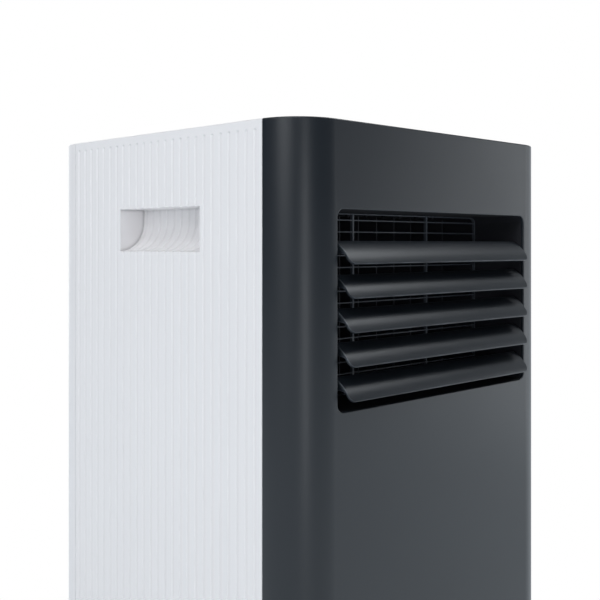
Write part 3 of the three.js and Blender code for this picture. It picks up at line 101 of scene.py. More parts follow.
def arc(centre: Point, radius: float, start: float, end: float, steps: int) -> list[Point]:
    """Points on an arc.

    Args:
        centre: Middle of the arc.
        radius: Its radius.
        start: First angle, in degrees.
        end: Last angle, in degrees.
        steps: Number of chords.

    Returns:
        The points, both ends included.
    """
    angles = [math.radians(start + (end - start) * step / steps) for step in range(steps + 1)]
    return [(centre[0] + radius * math.cos(a), centre[1] + radius * math.sin(a)) for a in angles]


def foot_rim(rim: float, low: float) -> list[Point]:
    """Inward distance and height of points round the lower rim of a wall."""
    return [(rim - rim * math.sin(a), low + rim - rim * math.cos(a)) for a in COARSE_TURN]


def head_rim(rim: float, high: float, turn: Sequence[float] = TURN) -> list[Point]:
    """Inward distance and height of points round the upper rim of a wall."""
    return [(rim - rim * math.cos(a), high - rim + rim * math.sin(a)) for a in turn]


def rounded(x0: float, x1: float, y0: float, y1: float, radius: float, steps: int = 6) -> Outline:
    """A rectangle with round corners.

    Args:
        x0: Low limit across.
        x1: High limit across.
        y0: Low limit up.
        y1: High limit up.
        radius: Corner radius.
        steps: Chords in each corner.

    Returns:
        A function that gives the outline let in by a distance.
    """

    def outline(inset: float) -> list[Point]:
        """The rectangle's points, let in by a distance.

        Args:
            inset: Distance let in.

        Returns:
            Points of the outline.
        """
        reach = max(radius, inset + LEAST_CORNER)
        left, right, low, high = x0 + reach, x1 - reach, y0 + reach, y1 - reach
        points: list[Point] = []
        for quarter, middle in enumerate(((right, high), (left, high), (left, low), (right, low))):
            points += arc(middle, reach - inset, 90 * quarter, 90 * quarter + 90, steps)
        return points

    return outline


def centred(x: float, y: float, half_x: float, half_y: float, radius: float, steps: int = 6) -> Outline:
    """A rectangle with round corners, from its middle and half its sizes."""
    return rounded(x - half_x, x + half_x, y - half_y, y + half_y, radius, steps)


def circle(x: float, y: float, radius: float, steps: int = 32) -> Outline:
    """A round outline, as a function of how far it is let in."""
    return lambda inset: arc((x, y), radius - inset, 0, 360, steps)[:-1]


def shifted(outline: Outline, distance: float) -> Outline:
    """An outline let in by a further distance, or let out if it is below zero."""
    return lambda inset: outline(inset + distance)


def polygon(points: Sequence[Point]) -> Outline:
    """A convex outline through given points, let in towards its middle.

    Args:
        points: Corners, in order.

    Returns:
        The outline, as a function of how far it is let in.
    """
    middle = (sum(p[0] for p in points) / len(points), sum(p[1] for p in points) / len(points))

    def outline(inset: float) -> list[Point]:
        """The polygon's points, each drawn in towards the middle.

        Args:
            inset: Distance let in.

        Returns:
            Points of the outline.
        """
        drawn = []
        for x, y in points:
            reach = math.dist((x, y), middle)
            share = max(reach - inset * CORNER_DRAW, 0.01) / reach
            drawn.append((middle[0] + (x - middle[0]) * share, middle[1] + (y - middle[1]) * share))
        return drawn

    return outline


def band(centre: Point, radius: float, width: float, start: float, end: float, steps: int = 20) -> Outline:
    """A curved stroke.

    Args:
        centre: Middle of the arc.
        radius: Radius of the stroke's midline.
        width: Its width.
        start: First angle, in degrees.
        end: Last angle, in degrees.
        steps: Chords along it.

    Returns:
        A function that gives the stroke's outline, let in across its width.
    """

    def outline(inset: float) -> list[Point]:
        """The stroke's points, let in by a distance."""
        half = width / 2 - inset
        return arc(centre, radius + half, start, end, steps) + arc(centre, radius - half, end, start, steps)

    return outline


def soft_levels(low: float, high: float, soft_low: float, soft_high: float, steps: int) -> list[Point]:
    """Levels of a prism whose two rims are rounded.

    Args:
        low: Depth of the first face.
        high: Depth of the last face.
        soft_low: Radius of the first rim.
        soft_high: Radius of the last rim.
        steps: Chords in each rim.

    Returns:
        Pairs of how far the outline is let in and its depth.
    """
    way = 1 if high > low else -1
    angles = [math.pi / 2 * step / steps for step in range(steps + 1)]
    first = [(soft_low * (1 - math.sin(a)), low + way * soft_low * (1 - math.cos(a))) for a in angles]
    last = [(soft_high * (1 - math.cos(a)), high - way * soft_high * (1 - math.sin(a))) for a in angles]
    return first + last


# ---- Shader groups -------------------------------------------------------------------------


def connect(tree: bpy.types.NodeTree, node: bpy.types.Node, inputs: dict) -> None:
    """Gives a node's inputs their links or plain values.

    Args:
        tree: Tree the node stands in.
        node: Node to feed.
        inputs: Link or value of each input.
    """
    for key, value in inputs.items():
        if isinstance(value, Socket):
            tree.links.new(value, node.inputs[key])
        else:
            node.inputs[key].default_value = value


class Tree:
    """A node tree being filled in, by short calls."""

    def __init__(self, tree: bpy.types.NodeTree) -> None:
        """Starts on an empty tree."""
        self.tree = tree

    def add(self, kind: str, inputs: dict | None = None, **settings: object) -> bpy.types.Node:
        """Adds one node.

        Args:
            kind: Type of node, without its ShaderNode prefix.
            inputs: Sockets or plain values, by input name or number.
            settings: The node's own settings.

        Returns:
            The new node.
        """
        node = self.tree.nodes.new(kind if kind.startswith("Node") else "ShaderNode" + kind)
        for key, value in settings.items():
            setattr(node, key, value)
        connect(self.tree, node, inputs or {})
        return node

    def math(self, operation: str, first: object, second: object = 0.0, clamp: bool = False) -> Socket:
        """One step of arithmetic, which gives its result's socket."""
        return self.add("Math", {0: first, 1: second}, operation=operation, use_clamp=clamp).outputs[0]

    def times(self, first: object, second: object) -> Socket:
        """The product of two values."""
        return self.math("MULTIPLY", first, second)

    def ramp(self, high: object, low: object, gain: float) -> Socket:
        """How far one value is over another, times a gain, kept between 0 and 1."""
        return self.math("MULTIPLY", self.math("SUBTRACT", high, low), gain, clamp=True)

    def blend(self, share: object, first: object, second: object) -> Socket:
        """A mix of two colours by a share, which gives the mixed colour's socket."""
        return self.add("Mix", {0: share, 6: first, 7: second}, data_type="RGBA").outputs[2]

    def ease(self, value: Socket, start: float, end: float) -> Socket:
        """A value that rises smoothly from 0 to 1 between two limits."""
        limits = {0: value, 1: start, 2: end}
        return self.add("MapRange", limits, interpolation_type="SMOOTHSTEP").outputs[0]

    def spot(self) -> Socket:
        """The place on the object, in metres."""
        return self.add("TexCoord").outputs["Object"]

    def noise(self, spot: Socket, scale: object, detail: float, roughness: float = 0.5) -> Socket:
        """Noise over a place, which gives its value's socket."""
        inputs = {"Vector": spot, "Scale": scale, "Detail": detail, "Roughness": roughness}
        return self.add("TexNoise", inputs).outputs[0]


def grain_nodes(tree: Tree, given: dict[str, Socket]) -> Socket:
    """The fine spark-eroded skin of a moulding: pits over a softer roll.

    Args:
        tree: Tree of the node group.
        given: The group's inputs.

    Returns:
        The height.
    """
    spot = tree.spot()
    pits = tree.noise(spot, given["Scale"], 3.0)
    roll = tree.noise(spot, tree.times(given["Scale"], 0.13), 1.0)
    return tree.math("ADD", pits, tree.times(roll, given["Roll"]))


def gloss_nodes(tree: Tree, given: dict[str, Socket]) -> Socket:
    """Roughness that drifts about its middle value, in patches and in fine specks.

    Args:
        tree: Tree of the node group.
        given: The group's inputs.

    Returns:
        The roughness.
    """
    spot = tree.spot()
    patches = tree.times(tree.noise(spot, given["Scale"], 4.0), 1.4)
    specks = tree.times(tree.noise(spot, 420.0, 2.0), 0.6)
    both = tree.math("ADD", patches, specks)
    shift = tree.times(tree.math("SUBTRACT", both, 1.0), given["Spread"])
    return tree.math("ADD", given["Roughness"], shift, clamp=True)


def drift_nodes(tree: Tree, given: dict[str, Socket]) -> Socket:
    """A colour that gets a little lighter and darker over the moulding.

    Args:
        tree: Tree of the node group.
        given: The group's inputs.

    Returns:
        The colour.
    """
    patches = tree.noise(tree.spot(), given["Scale"], 5.0)
    swing = tree.times(tree.math("SUBTRACT", patches, 0.5), given["Drift"])
    bright = tree.math("ADD", 1.0, tree.times(swing, 2.0))
    return tree.add("HueSaturation", {"Color": given["Color"], "Value": bright}).outputs[0]


def wear_and_highlight_nodes(tree: Tree, given: dict[str, Socket]) -> Socket:
    """A mask of rubbed edges, and of a painted highlight along rims: where the rounded normal leaves the true
    one, broken by noise.

    Args:
        tree: Tree of the node group.
        given: The group's inputs.

    Returns:
        The mask.
    """
    soft = tree.add("Bevel", {"Radius": 0.0012}, samples=4).outputs[0]
    true = tree.add("NewGeometry").outputs["Normal"]
    dot = tree.add("VectorMath", {0: soft, 1: true}, operation="DOT_PRODUCT").outputs["Value"]
    broken = tree.ramp(tree.noise(tree.spot(), 55.0, 6.0), 0.38, 3.0)
    return tree.times(tree.times(tree.ramp(1.0, dot, 5.0), broken), given["Amount"])


def dust_nodes(tree: Tree, given: dict[str, Socket]) -> Socket:
    """A mask of dust: thin flecks on what faces up.

    Args:
        tree: Tree of the node group.
        given: The group's inputs.

    Returns:
        The mask.
    """
    normal = tree.add("NewGeometry").outputs["Normal"]
    up = tree.add("SeparateXYZ", {0: normal}).outputs["Z"]
    facing = tree.math("SUBTRACT", up, 0.3, clamp=True)
    flecks = tree.ramp(tree.noise(tree.spot(), 160.0, 8.0, 0.75), 0.5, 3.5)
    return tree.times(tree.times(facing, flecks), given["Amount"])


def painted_crevice_shade_nodes(tree: Tree, given: dict[str, Socket]) -> Socket:
    """A mask of painted shade: darkest where the surface folds in on itself, from ambient occlusion.

    Args:
        tree: Tree of the node group.
        given: The group's inputs.

    Returns:
        The mask.
    """
    open_sky = tree.add("AmbientOcclusion", {"Distance": given["Reach"]}, samples=8).outputs["AO"]
    shut = tree.math("SUBTRACT", 1.0, open_sky)
    return tree.math("MULTIPLY", shut, given["Amount"], clamp=True)


@dataclass(frozen=True)
class Recipe:
    """How a shared effect is made: its inputs, its one output, and the nodes between them."""

    inputs: dict[str, object]
    output: str
    nodes: Callable[[Tree, dict[str, Socket]], Socket]

    def make(self, name: str) -> bpy.types.NodeTree:
        """The effect's node group, new.

        Args:
            name: Name of the group.

        Returns:
            The node group.
        """
        group = bpy.data.node_groups.new(name, "ShaderNodeTree")
        for label, value in self.inputs.items():
            kind = "NodeSocketFloat" if isinstance(value, float) else "NodeSocketColor"
            socket = group.interface.new_socket(label, in_out="INPUT", socket_type=kind)
            socket.default_value = value
        kind = "NodeSocketColor" if self.output == "Color" else "NodeSocketFloat"
        group.interface.new_socket(self.output, in_out="OUTPUT", socket_type=kind)
        tree = Tree(group)
        source = tree.add("NodeGroupInput")
        result = self.nodes(tree, {label: source.outputs[label] for label in self.inputs})
        tree.add("NodeGroupOutput", {self.output: result})
        return group


class Effect(Enum):
    """An effect that several materials share, as a node group with named sockets."""

    GRAIN = "moulded_grain"
    GLOSS = "uneven_gloss"
    DRIFT = "colour_drift"
    WEAR = "edge_wear"
    DUST = "settled_dust"
    CREVICE = "grimed_crevices"

    def group(self) -> bpy.types.NodeTree:
        """The effect's node group, made on its first use."""
        known = bpy.data.node_groups.get(self.value)
        return known or RECIPES[self].make(self.value)


RECIPES = {
    Effect.GRAIN: Recipe({"Scale": 900.0, "Roll": 0.35}, "Height", grain_nodes),
    Effect.GLOSS: Recipe({"Roughness": 0.5, "Spread": 0.1, "Scale": 14.0}, "Roughness", gloss_nodes),
    Effect.DRIFT: Recipe({"Color": (0.5, 0.5, 0.5, 1.0), "Drift": 0.04, "Scale": 9.0}, "Color", drift_nodes),
    Effect.WEAR: Recipe({"Amount": 0.3}, "Mask", wear_and_highlight_nodes),
    Effect.DUST: Recipe({"Amount": 0.1}, "Mask", dust_nodes),
    Effect.CREVICE: Recipe({"Amount": 0.3, "Reach": 0.003}, "Mask", painted_crevice_shade_nodes),
}


# ---- Finishes ------------------------------------------------------------------------------

DUST_COLOUR = (0.42, 0.41, 0.39, 1.0)
# Colour of the painted shade laid into grooves and creases.
PAINTED_SHADE_COLOUR = (0.06, 0.06, 0.065, 1.0)
# Height of a finish's grain, in metres, at full strength.
GRAIN_HEIGHT = 0.0004
COAT_ROUGHNESS = 0.06
# Distance between threads of the filter's weave, and between the coils' fins, in metres.
WEAVE_PITCH = 0.0016
FIN_PITCH = 0.0016


class Pattern(Enum):
    """A pattern that a finish lays over its grain."""

    PLAIN = "plain"
    BRUSHED = "brushed"
    WEAVE = "weave"
    FINS = "fins"
    TRACES = "traces"
    BEADS = "beads"


@dataclass(frozen=True)
class Finish:
    """One finish of the object: its colour, gloss, grain, how it has aged, and any painted shade and painted
    edge highlight.
    """

    name: str
    slot: str
    colour: Colour
    roughness: float
    spread: float = 0.08
    drift: float = 0.03
    grain: float = 900.0
    depth: float = 0.05
    metallic: float = 0.0
    specular: float = 0.5
    coat: float = 0.0
    wear: float = 0.0
    wear_and_highlight_colour: Colour = (0.5, 0.5, 0.5)
    dust: float = 0.0
    grime: float = 0.0
    glow: float = 0.0
    pattern: Pattern = Pattern.PLAIN

    def material(self) -> bpy.types.Material:
        """The finish's material, made on its first use.

        Returns:
            The material.
        """
        known = bpy.data.materials.get(self.name)
        if known:
            return known
        material = bpy.data.materials.new(self.name)
        material.use_nodes = True
        material.node_tree.nodes.clear()
        self.wire(Tree(material.node_tree))
        return material

    def wire(self, tree: Tree) -> None:
        """Lays out the nodes of the material.

        Args:
            tree: The material's own tree.
        """
        colour, height = self.pattern_parts(tree)
        base = self.effect(tree, Effect.DRIFT, {"Color": colour, "Drift": self.drift})
        rough = self.effect(tree, Effect.GLOSS, {"Roughness": self.roughness, "Spread": self.spread})
        # Light edge mark: rubbed wear, and also a painted highlight along rims.
        if self.wear:
            edge_mark = self.effect(tree, Effect.WEAR, {"Amount": self.wear})
            base = tree.blend(edge_mark, base, (*self.wear_and_highlight_colour, 1.0))
        if self.dust:
            film = self.effect(tree, Effect.DUST, {"Amount": self.dust})
            base = tree.blend(film, base, DUST_COLOUR)
            rough = tree.math("ADD", rough, film, clamp=True)
        # Painted shade: ambient occlusion darkens the colour in grooves and creases.
        if self.grime:
            crevice_shade_mask = self.effect(tree, Effect.CREVICE, {"Amount": self.grime})
            base = tree.blend(crevice_shade_mask, base, PAINTED_SHADE_COLOUR)
        bump = tree.add("Bump", {"Strength": self.depth, "Distance": GRAIN_HEIGHT, "Height": height})
        inputs = {"Base Color": base, "Roughness": rough, "Normal": bump.outputs[0]}
        inputs |= {"Metallic": self.metallic, "Specular IOR Level": self.specular}
        inputs |= {"Coat Weight": self.coat, "Coat Roughness": COAT_ROUGHNESS}
        if self.glow:
            inputs |= {"Emission Color": base, "Emission Strength": self.glow}
        shader = tree.add("BsdfPrincipled", inputs)
        tree.add("OutputMaterial", {"Surface": shader.outputs[0]})

    def effect(self, tree: Tree, effect: Effect, inputs: dict[str, object]) -> Socket:
        """Places a shared effect with this finish's own values, and gives its output.

        Args:
            tree: The material's tree.
            effect: The effect to place.
            inputs: Inputs beside the finish's own.

        Returns:
            The effect's output.
        """
        node = tree.add("Group", node_tree=effect.group())
        connect(tree.tree, node, inputs)
        return node.outputs[0]

    def pattern_parts(self, tree: Tree) -> tuple[object, Socket]:
        """The colour and the height that the finish's pattern gives.

        Args:
            tree: Tree of the material.

        Returns:
            The colour, plain or as a socket, and the height's socket.
        """
        grain = self.effect(tree, Effect.GRAIN, {"Scale": self.grain})
        if self.pattern is Pattern.PLAIN:
            return self.tone(1.0), grain
        spot = tree.spot()
        if self.pattern is Pattern.BRUSHED:
            drawn = tree.add("Mapping", {"Vector": spot, "Scale": (60.0, 60.0, 2400.0)}).outputs[0]
            lines = tree.noise(drawn, 1.0, 2.0)
            return self.tone(1.0), tree.math("ADD", lines, tree.times(grain, 0.2))
        if self.pattern is Pattern.TRACES:
            bricks = {"Vector": spot, "Scale": 150.0, "Mortar Size": 0.05}
            traces = tree.add("TexBrick", bricks).outputs["Fac"]
            pale = tuple(min(c * 1.9 + 0.02, 1.0) for c in self.colour)
            return tree.blend(traces, self.tone(1.0), (*pale, 1.0)), tree.math("ADD", grain, traces)
        relief = {Pattern.WEAVE: self.woven, Pattern.FINS: self.finned, Pattern.BEADS: self.beaded}
        height, gaps, shade = relief[self.pattern](tree, spot)
        colour = tree.blend(gaps, self.tone(1.0), self.tone(shade))
        return colour, tree.math("ADD", height, tree.times(grain, 0.1))

    def tone(self, share: float) -> tuple[float, float, float, float]:
        """The finish's own colour, darkened to a share of itself."""
        return (*(c * share for c in self.colour), 1.0)

    def woven(self, tree: Tree, spot: Socket) -> tuple[Socket, Socket, float]:
        """Threads that cross: their height, the holes between them, and the holes' shade.

        Args:
            tree: The material's tree.
            spot: Place on the surface.

        Returns:
            Height, gaps and shade of the gaps.
        """
        parts = tree.add("SeparateXYZ", {0: spot}).outputs
        waves = []
        for axis in ("X", "Z"):
            turn = tree.times(parts[axis], 2 * math.pi / WEAVE_PITCH)
            waves.append(tree.math("ABSOLUTE", tree.math("SINE", turn)))
        thread = tree.math("MAXIMUM", waves[0], waves[1])
        return thread, tree.ramp(0.8, thread, 3.0), 0.15

    def finned(self, tree: Tree, spot: Socket) -> tuple[Socket, Socket, float]:
        """Upright fins: their height, the gaps between them, and the gaps' shade.

        Args:
            tree: The material's tree.
            spot: Place on the surface.

        Returns:
            Height, gaps and shade of the gaps.
        """
        across = tree.add("SeparateXYZ", {0: spot}).outputs["X"]
        wave = tree.math("ABSOLUTE", tree.math("SINE", tree.times(across, math.pi / FIN_PITCH)))
        return wave, tree.ramp(0.75, wave, 2.5), 0.12

    def beaded(self, tree: Tree, spot: Socket) -> tuple[Socket, Socket, float]:
        """Fused beads of foam: their height, the seams between them, and the seams' shade."""
        cells = tree.add("TexVoronoi", {"Vector": spot, "Scale": 320.0}).outputs["Distance"]
        return tree.math("SUBTRACT", 1.0, cells), tree.ramp(cells, 0.35, 1.5), 0.72


def paint(red: int, green: int, blue: int) -> Colour:
    """A colour in screen values, turned into light values."""
    shares = [level / 255 for level in (red, green, blue)]
    return tuple(((s + 0.055) / 1.055) ** 2.4 if s > 0.04 else s / 12.92 for s in shares)


CHARCOAL = Finish(
    "charcoal_plastic", "charcoal", paint(23, 28, 34), 0.36, spread=0.05, grain=1100.0,
    wear=0.08, wear_and_highlight_colour=paint(120, 124, 130), dust=0.03,
)
# The blades' strong pale edge mark is a painted highlight along their lips and ends, with little real wear.
BLADE = replace(CHARCOAL, name="blade_plastic", wear=0.9, wear_and_highlight_colour=paint(134, 141, 150))
# The white moulding gets painted shade in its grooves and creases.
WHITE = Finish(
    "white_plastic", "white", paint(236, 233, 233), 0.42, spread=0.06, drift=0.008, grain=1000.0,
    depth=0.04, dust=0.02, grime=0.62,
)
BLACK = Finish(
    "black_plastic", "black_plastic", paint(50, 53, 58), 0.42, grain=700.0, depth=0.08,
    wear=0.04, wear_and_highlight_colour=paint(70, 72, 75), dust=0.04,
)
GUARD = Finish(
    "guard_plastic", "black_plastic", paint(66, 70, 77), 0.38, grain=800.0,
    wear=0.05, wear_and_highlight_colour=paint(110, 113, 118),
)
GLOSS = Finish(
    "gloss_black", "gloss_black", paint(9, 10, 12), 0.08, spread=0.05, grain=60.0, depth=0.01,
    coat=0.6, dust=0.04,
)
GREY = Finish(
    "grey_plastic", "grey_plastic", paint(139, 143, 149), 0.48,
    wear=0.12, wear_and_highlight_colour=paint(175, 178, 182), dust=0.06,
)
RUBBER = Finish(
    "rubber", "rubber", paint(27, 27, 28), 0.78, grain=500.0, depth=0.15, specular=0.35, dust=0.16,
)
MESH = Finish(
    "filter_mesh", "filter_mesh", paint(58, 62, 70), 0.85, depth=0.6, dust=0.12,
    pattern=Pattern.WEAVE,
)
STEEL = Finish(
    "zinc_steel", "steel", paint(168, 172, 176), 0.36, depth=0.12, metallic=1.0, dust=0.06,
    pattern=Pattern.BRUSHED,
)
FINS = Finish(
    "aluminium_fins", "aluminium_fins", paint(190, 194, 198), 0.38, depth=0.7, metallic=1.0,
    pattern=Pattern.FINS,
)
COPPER = Finish(
    "copper_tube", "copper", paint(190, 118, 76), 0.32, spread=0.14, drift=0.12, depth=0.06,
    metallic=1.0,
)
ENAMEL = Finish(
    "black_enamel", "black_enamel", paint(18, 19, 21), 0.3, grain=260.0, depth=0.1, coat=0.3,
    dust=0.06,
)
FOAM = Finish("bead_foam", "foam", paint(58, 60, 64), 0.9, depth=0.5, pattern=Pattern.BEADS)
BOARD = Finish("circuit_board", "circuit_board", paint(31, 90, 56), 0.5, depth=0.3, pattern=Pattern.TRACES)
INK = Finish("printed_ink", "gloss_black", paint(196, 200, 205), 0.5, depth=0.03)
DIGIT = Finish("lit_digit", "gloss_black", paint(190, 224, 255), 0.4, depth=0.02, glow=1.2)


# ---- Meshes --------------------------------------------------------------------------------


# Angle, in degrees, past which an edge stays sharp.
CREASE = 38.0
# Points of a carried-over node that lie nearer than this, in metres, are joined.
WELD_REACH = 0.00001


class Shape:
    """A closed mesh being built, in millimetres."""

    def __init__(self) -> None:
        """Starts with no faces."""
        self.mesh = bmesh.new()

    def ring(self, points: Iterable[Sequence[float]]) -> Verts:
        """New vertices at the points, in order."""
        return [self.mesh.verts.new(point) for point in points]

    def bridge(self, first: Verts, second: Verts, closed: bool = True, skip: Sequence[int] = ()) -> None:
        """Joins two rings of equal length by quads.

        Args:
            first: One ring.
            second: The other ring.
            closed: Whether the last point joins the first.
            skip: Quads to leave out, by number.
        """
        count = len(first)
        for here in range(count if closed else count - 1):
            there = (here + 1) % count
            if here not in skip:
                self.mesh.faces.new((first[here], first[there], second[there], second[here]))

    def face(self, ring: Verts) -> None:
        """One flat face round a ring."""
        self.mesh.faces.new(ring)

    def fill(self, loops: Sequence[Verts]) -> None:
        """Fills the flat region between an outer loop and the loops of its holes.

        Args:
            loops: The outer loop, then one loop for each hole.
        """
        edges = []
        for loop in loops:
            for here, vert in enumerate(loop):
                pair = (loop[here - 1], vert)
                edges.append(self.mesh.edges.get(pair) or self.mesh.edges.new(pair))
        bmesh.ops.triangle_fill(self.mesh, use_beauty=True, use_dissolve=False, edges=edges)

    def join(self, rings: Sequence[Verts]) -> None:
        """Joins rings one after another."""
        for first, second in zip(rings, rings[1:]):
            self.bridge(first, second)

    def loft(self, rings: Sequence[Iterable[Sequence[float]]], loop: bool = False) -> None:
        """Joins new rings one after another, and closes the two ends.

        Args:
            rings: Points of each ring.
            loop: Whether the last ring joins the first, with no ends to close.
        """
        made = [self.ring(points) for points in rings]
        self.join(made)
        if loop:
            self.bridge(made[-1], made[0])
        else:
            self.face(made[0])
            self.face(made[-1])

    def wall(
        self, plane: Plane, outline: Outline, levels: Sequence[Point], way: int = 1
    ) -> tuple[Verts, Verts]:
        """The wall of a prism or of a hole.

        Args:
            plane: Plane of the outline.
            outline: The outline.
            levels: Pairs of inset and depth.
            way: 1 round a solid, -1 round a hole.

        Returns:
            The first ring and the last.
        """
        rings = []
        for inset, depth in levels:
            rings.append(self.ring(plane.place(a, b, depth) for a, b in outline(way * inset)))
        self.join(rings)
        return rings[0], rings[-1]

    def plate(
        self,
        plane: Plane,
        outline: Outline,
        low: float,
        high: float,
        soft: tuple[float, float] = (0.3, 0.3),
        holes: Sequence[Outline] = (),
        steps: int = 3,
    ) -> "Shape":
        """A prism with rounded rims and any number of holes.

        Args:
            plane: Plane of the outlines.
            outline: The outer outline.
            low: Depth of the first face.
            high: Depth of the last face.
            soft: Rim radii of the two faces.
            holes: Outlines of the holes.
            steps: Chords in each rim.

        Returns:
            This shape.
        """
        levels = soft_levels(low, high, soft[0], soft[1], steps)
        ends = [self.wall(plane, outline, levels)]
        ends += [self.wall(plane, hole, levels, -1) for hole in holes]
        for side in (0, 1):
            loops = [end[side] for end in ends]
            if holes:
                self.fill(loops)
            else:
                self.face(loops[0])
        return self

    def block(self, x: Point, y: Point, z: Point, soft: float = 0.3, steps: int = 2) -> "Shape":
        """A box between two limits on each axis, with rounded rims."""
        outline = rounded(min(x), max(x), min(y), max(y), max(soft, 0.05), steps)
        return self.plate(Plane.XY, outline, min(z), max(z), (soft, soft), steps=steps)

    def turned(
        self,
        plane: Plane,
        profile: Sequence[Point],
        centre: Point,
        segments: int = 48,
        hollow: bool = False,
    ) -> "Shape":
        """A turned solid.

        Args:
            plane: Plane across the axis.
            profile: Pairs of radius and depth.
            centre: Where the axis crosses the plane.
            segments: Chords round it.
            hollow: Whether the profile closes on itself round a bore.

        Returns:
            This shape.
        """
        rings = []
        for radius, depth in profile:
            points = arc(centre, radius, 0, 360, segments)[:-1]
            rings.append([plane.place(a, b, depth) for a, b in points])
        self.loft(rings, hollow)
        return self

    def rod(
        self, plane: Plane, centre: Point, radius: float, low: float, high: float, soft: float = 0.2
    ) -> "Shape":
        """A round bar along the axis across a plane."""
        return self.plate(plane, circle(*centre, radius, 24), low, high, (soft, soft), steps=2)

    def piece(
        self,
        name: str,
        body: str,
        finish: Finish,
        replaces: Sequence[str] = (),
        crease: float = CREASE,
    ) -> None:
        """Turns the shape into a piece of the object.

        Args:
            name: Name of the piece.
            body: CAD body it rides on.
            finish: Its finish.
            replaces: CAD nodes it stands for.
            crease: Angle, in degrees, past which an edge stays sharp.
        """
        bmesh.ops.recalc_face_normals(self.mesh, faces=self.mesh.faces)
        bmesh.ops.scale(self.mesh, vec=(MM, MM, MM), verts=self.mesh.verts)
        mesh = bpy.data.meshes.new(name)
        self.mesh.to_mesh(mesh)
        self.mesh.free()
        mesh.shade_smooth()
        mesh.set_sharp_from_angle(angle=math.radians(crease))
        mesh.materials.append(finish.material())
        thing = bpy.data.objects.new(name, mesh)
        bpy.context.scene.collection.objects.link(thing)
        even = thing.modifiers.new("even_normals", "WEIGHTED_NORMAL")
        even.keep_sharp = True
        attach(thing, body)
        if replaces:
            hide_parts(*replaces)
        LOG.info("%s: %d faces", name, len(mesh.polygons))


def dress_node(name: str, finish: Finish, rim: float = 0.4) -> None:
    """Gives a carried-over CAD node its finish and rounded rims.

    Args:
        name: The node.
        finish: Its finish.
        rim: Radius of its rims.
    """
    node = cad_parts[name]
    node.data.materials.clear()
    node.data.materials.append(finish.material())
    if "custom_normal" in node.data.attributes:
        node.data.attributes.remove(node.data.attributes["custom_normal"])
    node.data.shade_smooth()
    weld = node.modifiers.new("weld", "WELD")
    weld.merge_threshold = WELD_REACH
    bevel = node.modifiers.new("rims", "BEVEL")
    bevel.width = rim * MM
    bevel.segments = 2
    bevel.limit_method = "ANGLE"
    bevel.angle_limit = math.radians(CREASE)
    bevel.harden_normals = False
    even = node.modifiers.new("even_normals", "WEIGHTED_NORMAL")
    even.keep_sharp = False
    LOG.info("%s: carried over from the CAD", name)


# ---- Casing --------------------------------------------------------------------------------


@dataclass
class Casing:
    """Sizes that the whole casing shares."""

    width: float = 355.0
    depth: float = 346.0
    height: float = 703.0
    corner: float = 40.0
    wall: float = 2.8
    bottom: float = 14.0
    gap: float = 0.3
    cover_gap: float = 0.4

    @property
    def half_width(self) -> float:
        """Half of the width."""
        return self.width / 2

    @property
    def half_depth(self) -> float:
        """Half of the depth."""
        return self.depth / 2

    @property
    def seam(self) -> float:
        """Distance of the covers' seams from the middle."""
        return self.half_depth - self.corner

    def outline(self, inset: float, steps: int = 10) -> Outline:
        """The casing's plan, let in from its outer face."""
        x, y = self.half_width - inset, self.half_depth - inset
        return rounded(-x, x, -y, y, self.corner - inset, steps)


CASING = Casing()


@dataclass
class Opening:
    """An opening in a cover, with a rounded lip at the outer face."""

    outline: Outline
    lip: float = 0.5


def sunk_near_edge(along: float, rim: float) -> float:
    """How far a face is sunk at a distance from an edge that is rounded."""
    off = max(rim - along, 0.0)
    return rim - math.sqrt(max(rim**2 - off * off, 0.0))


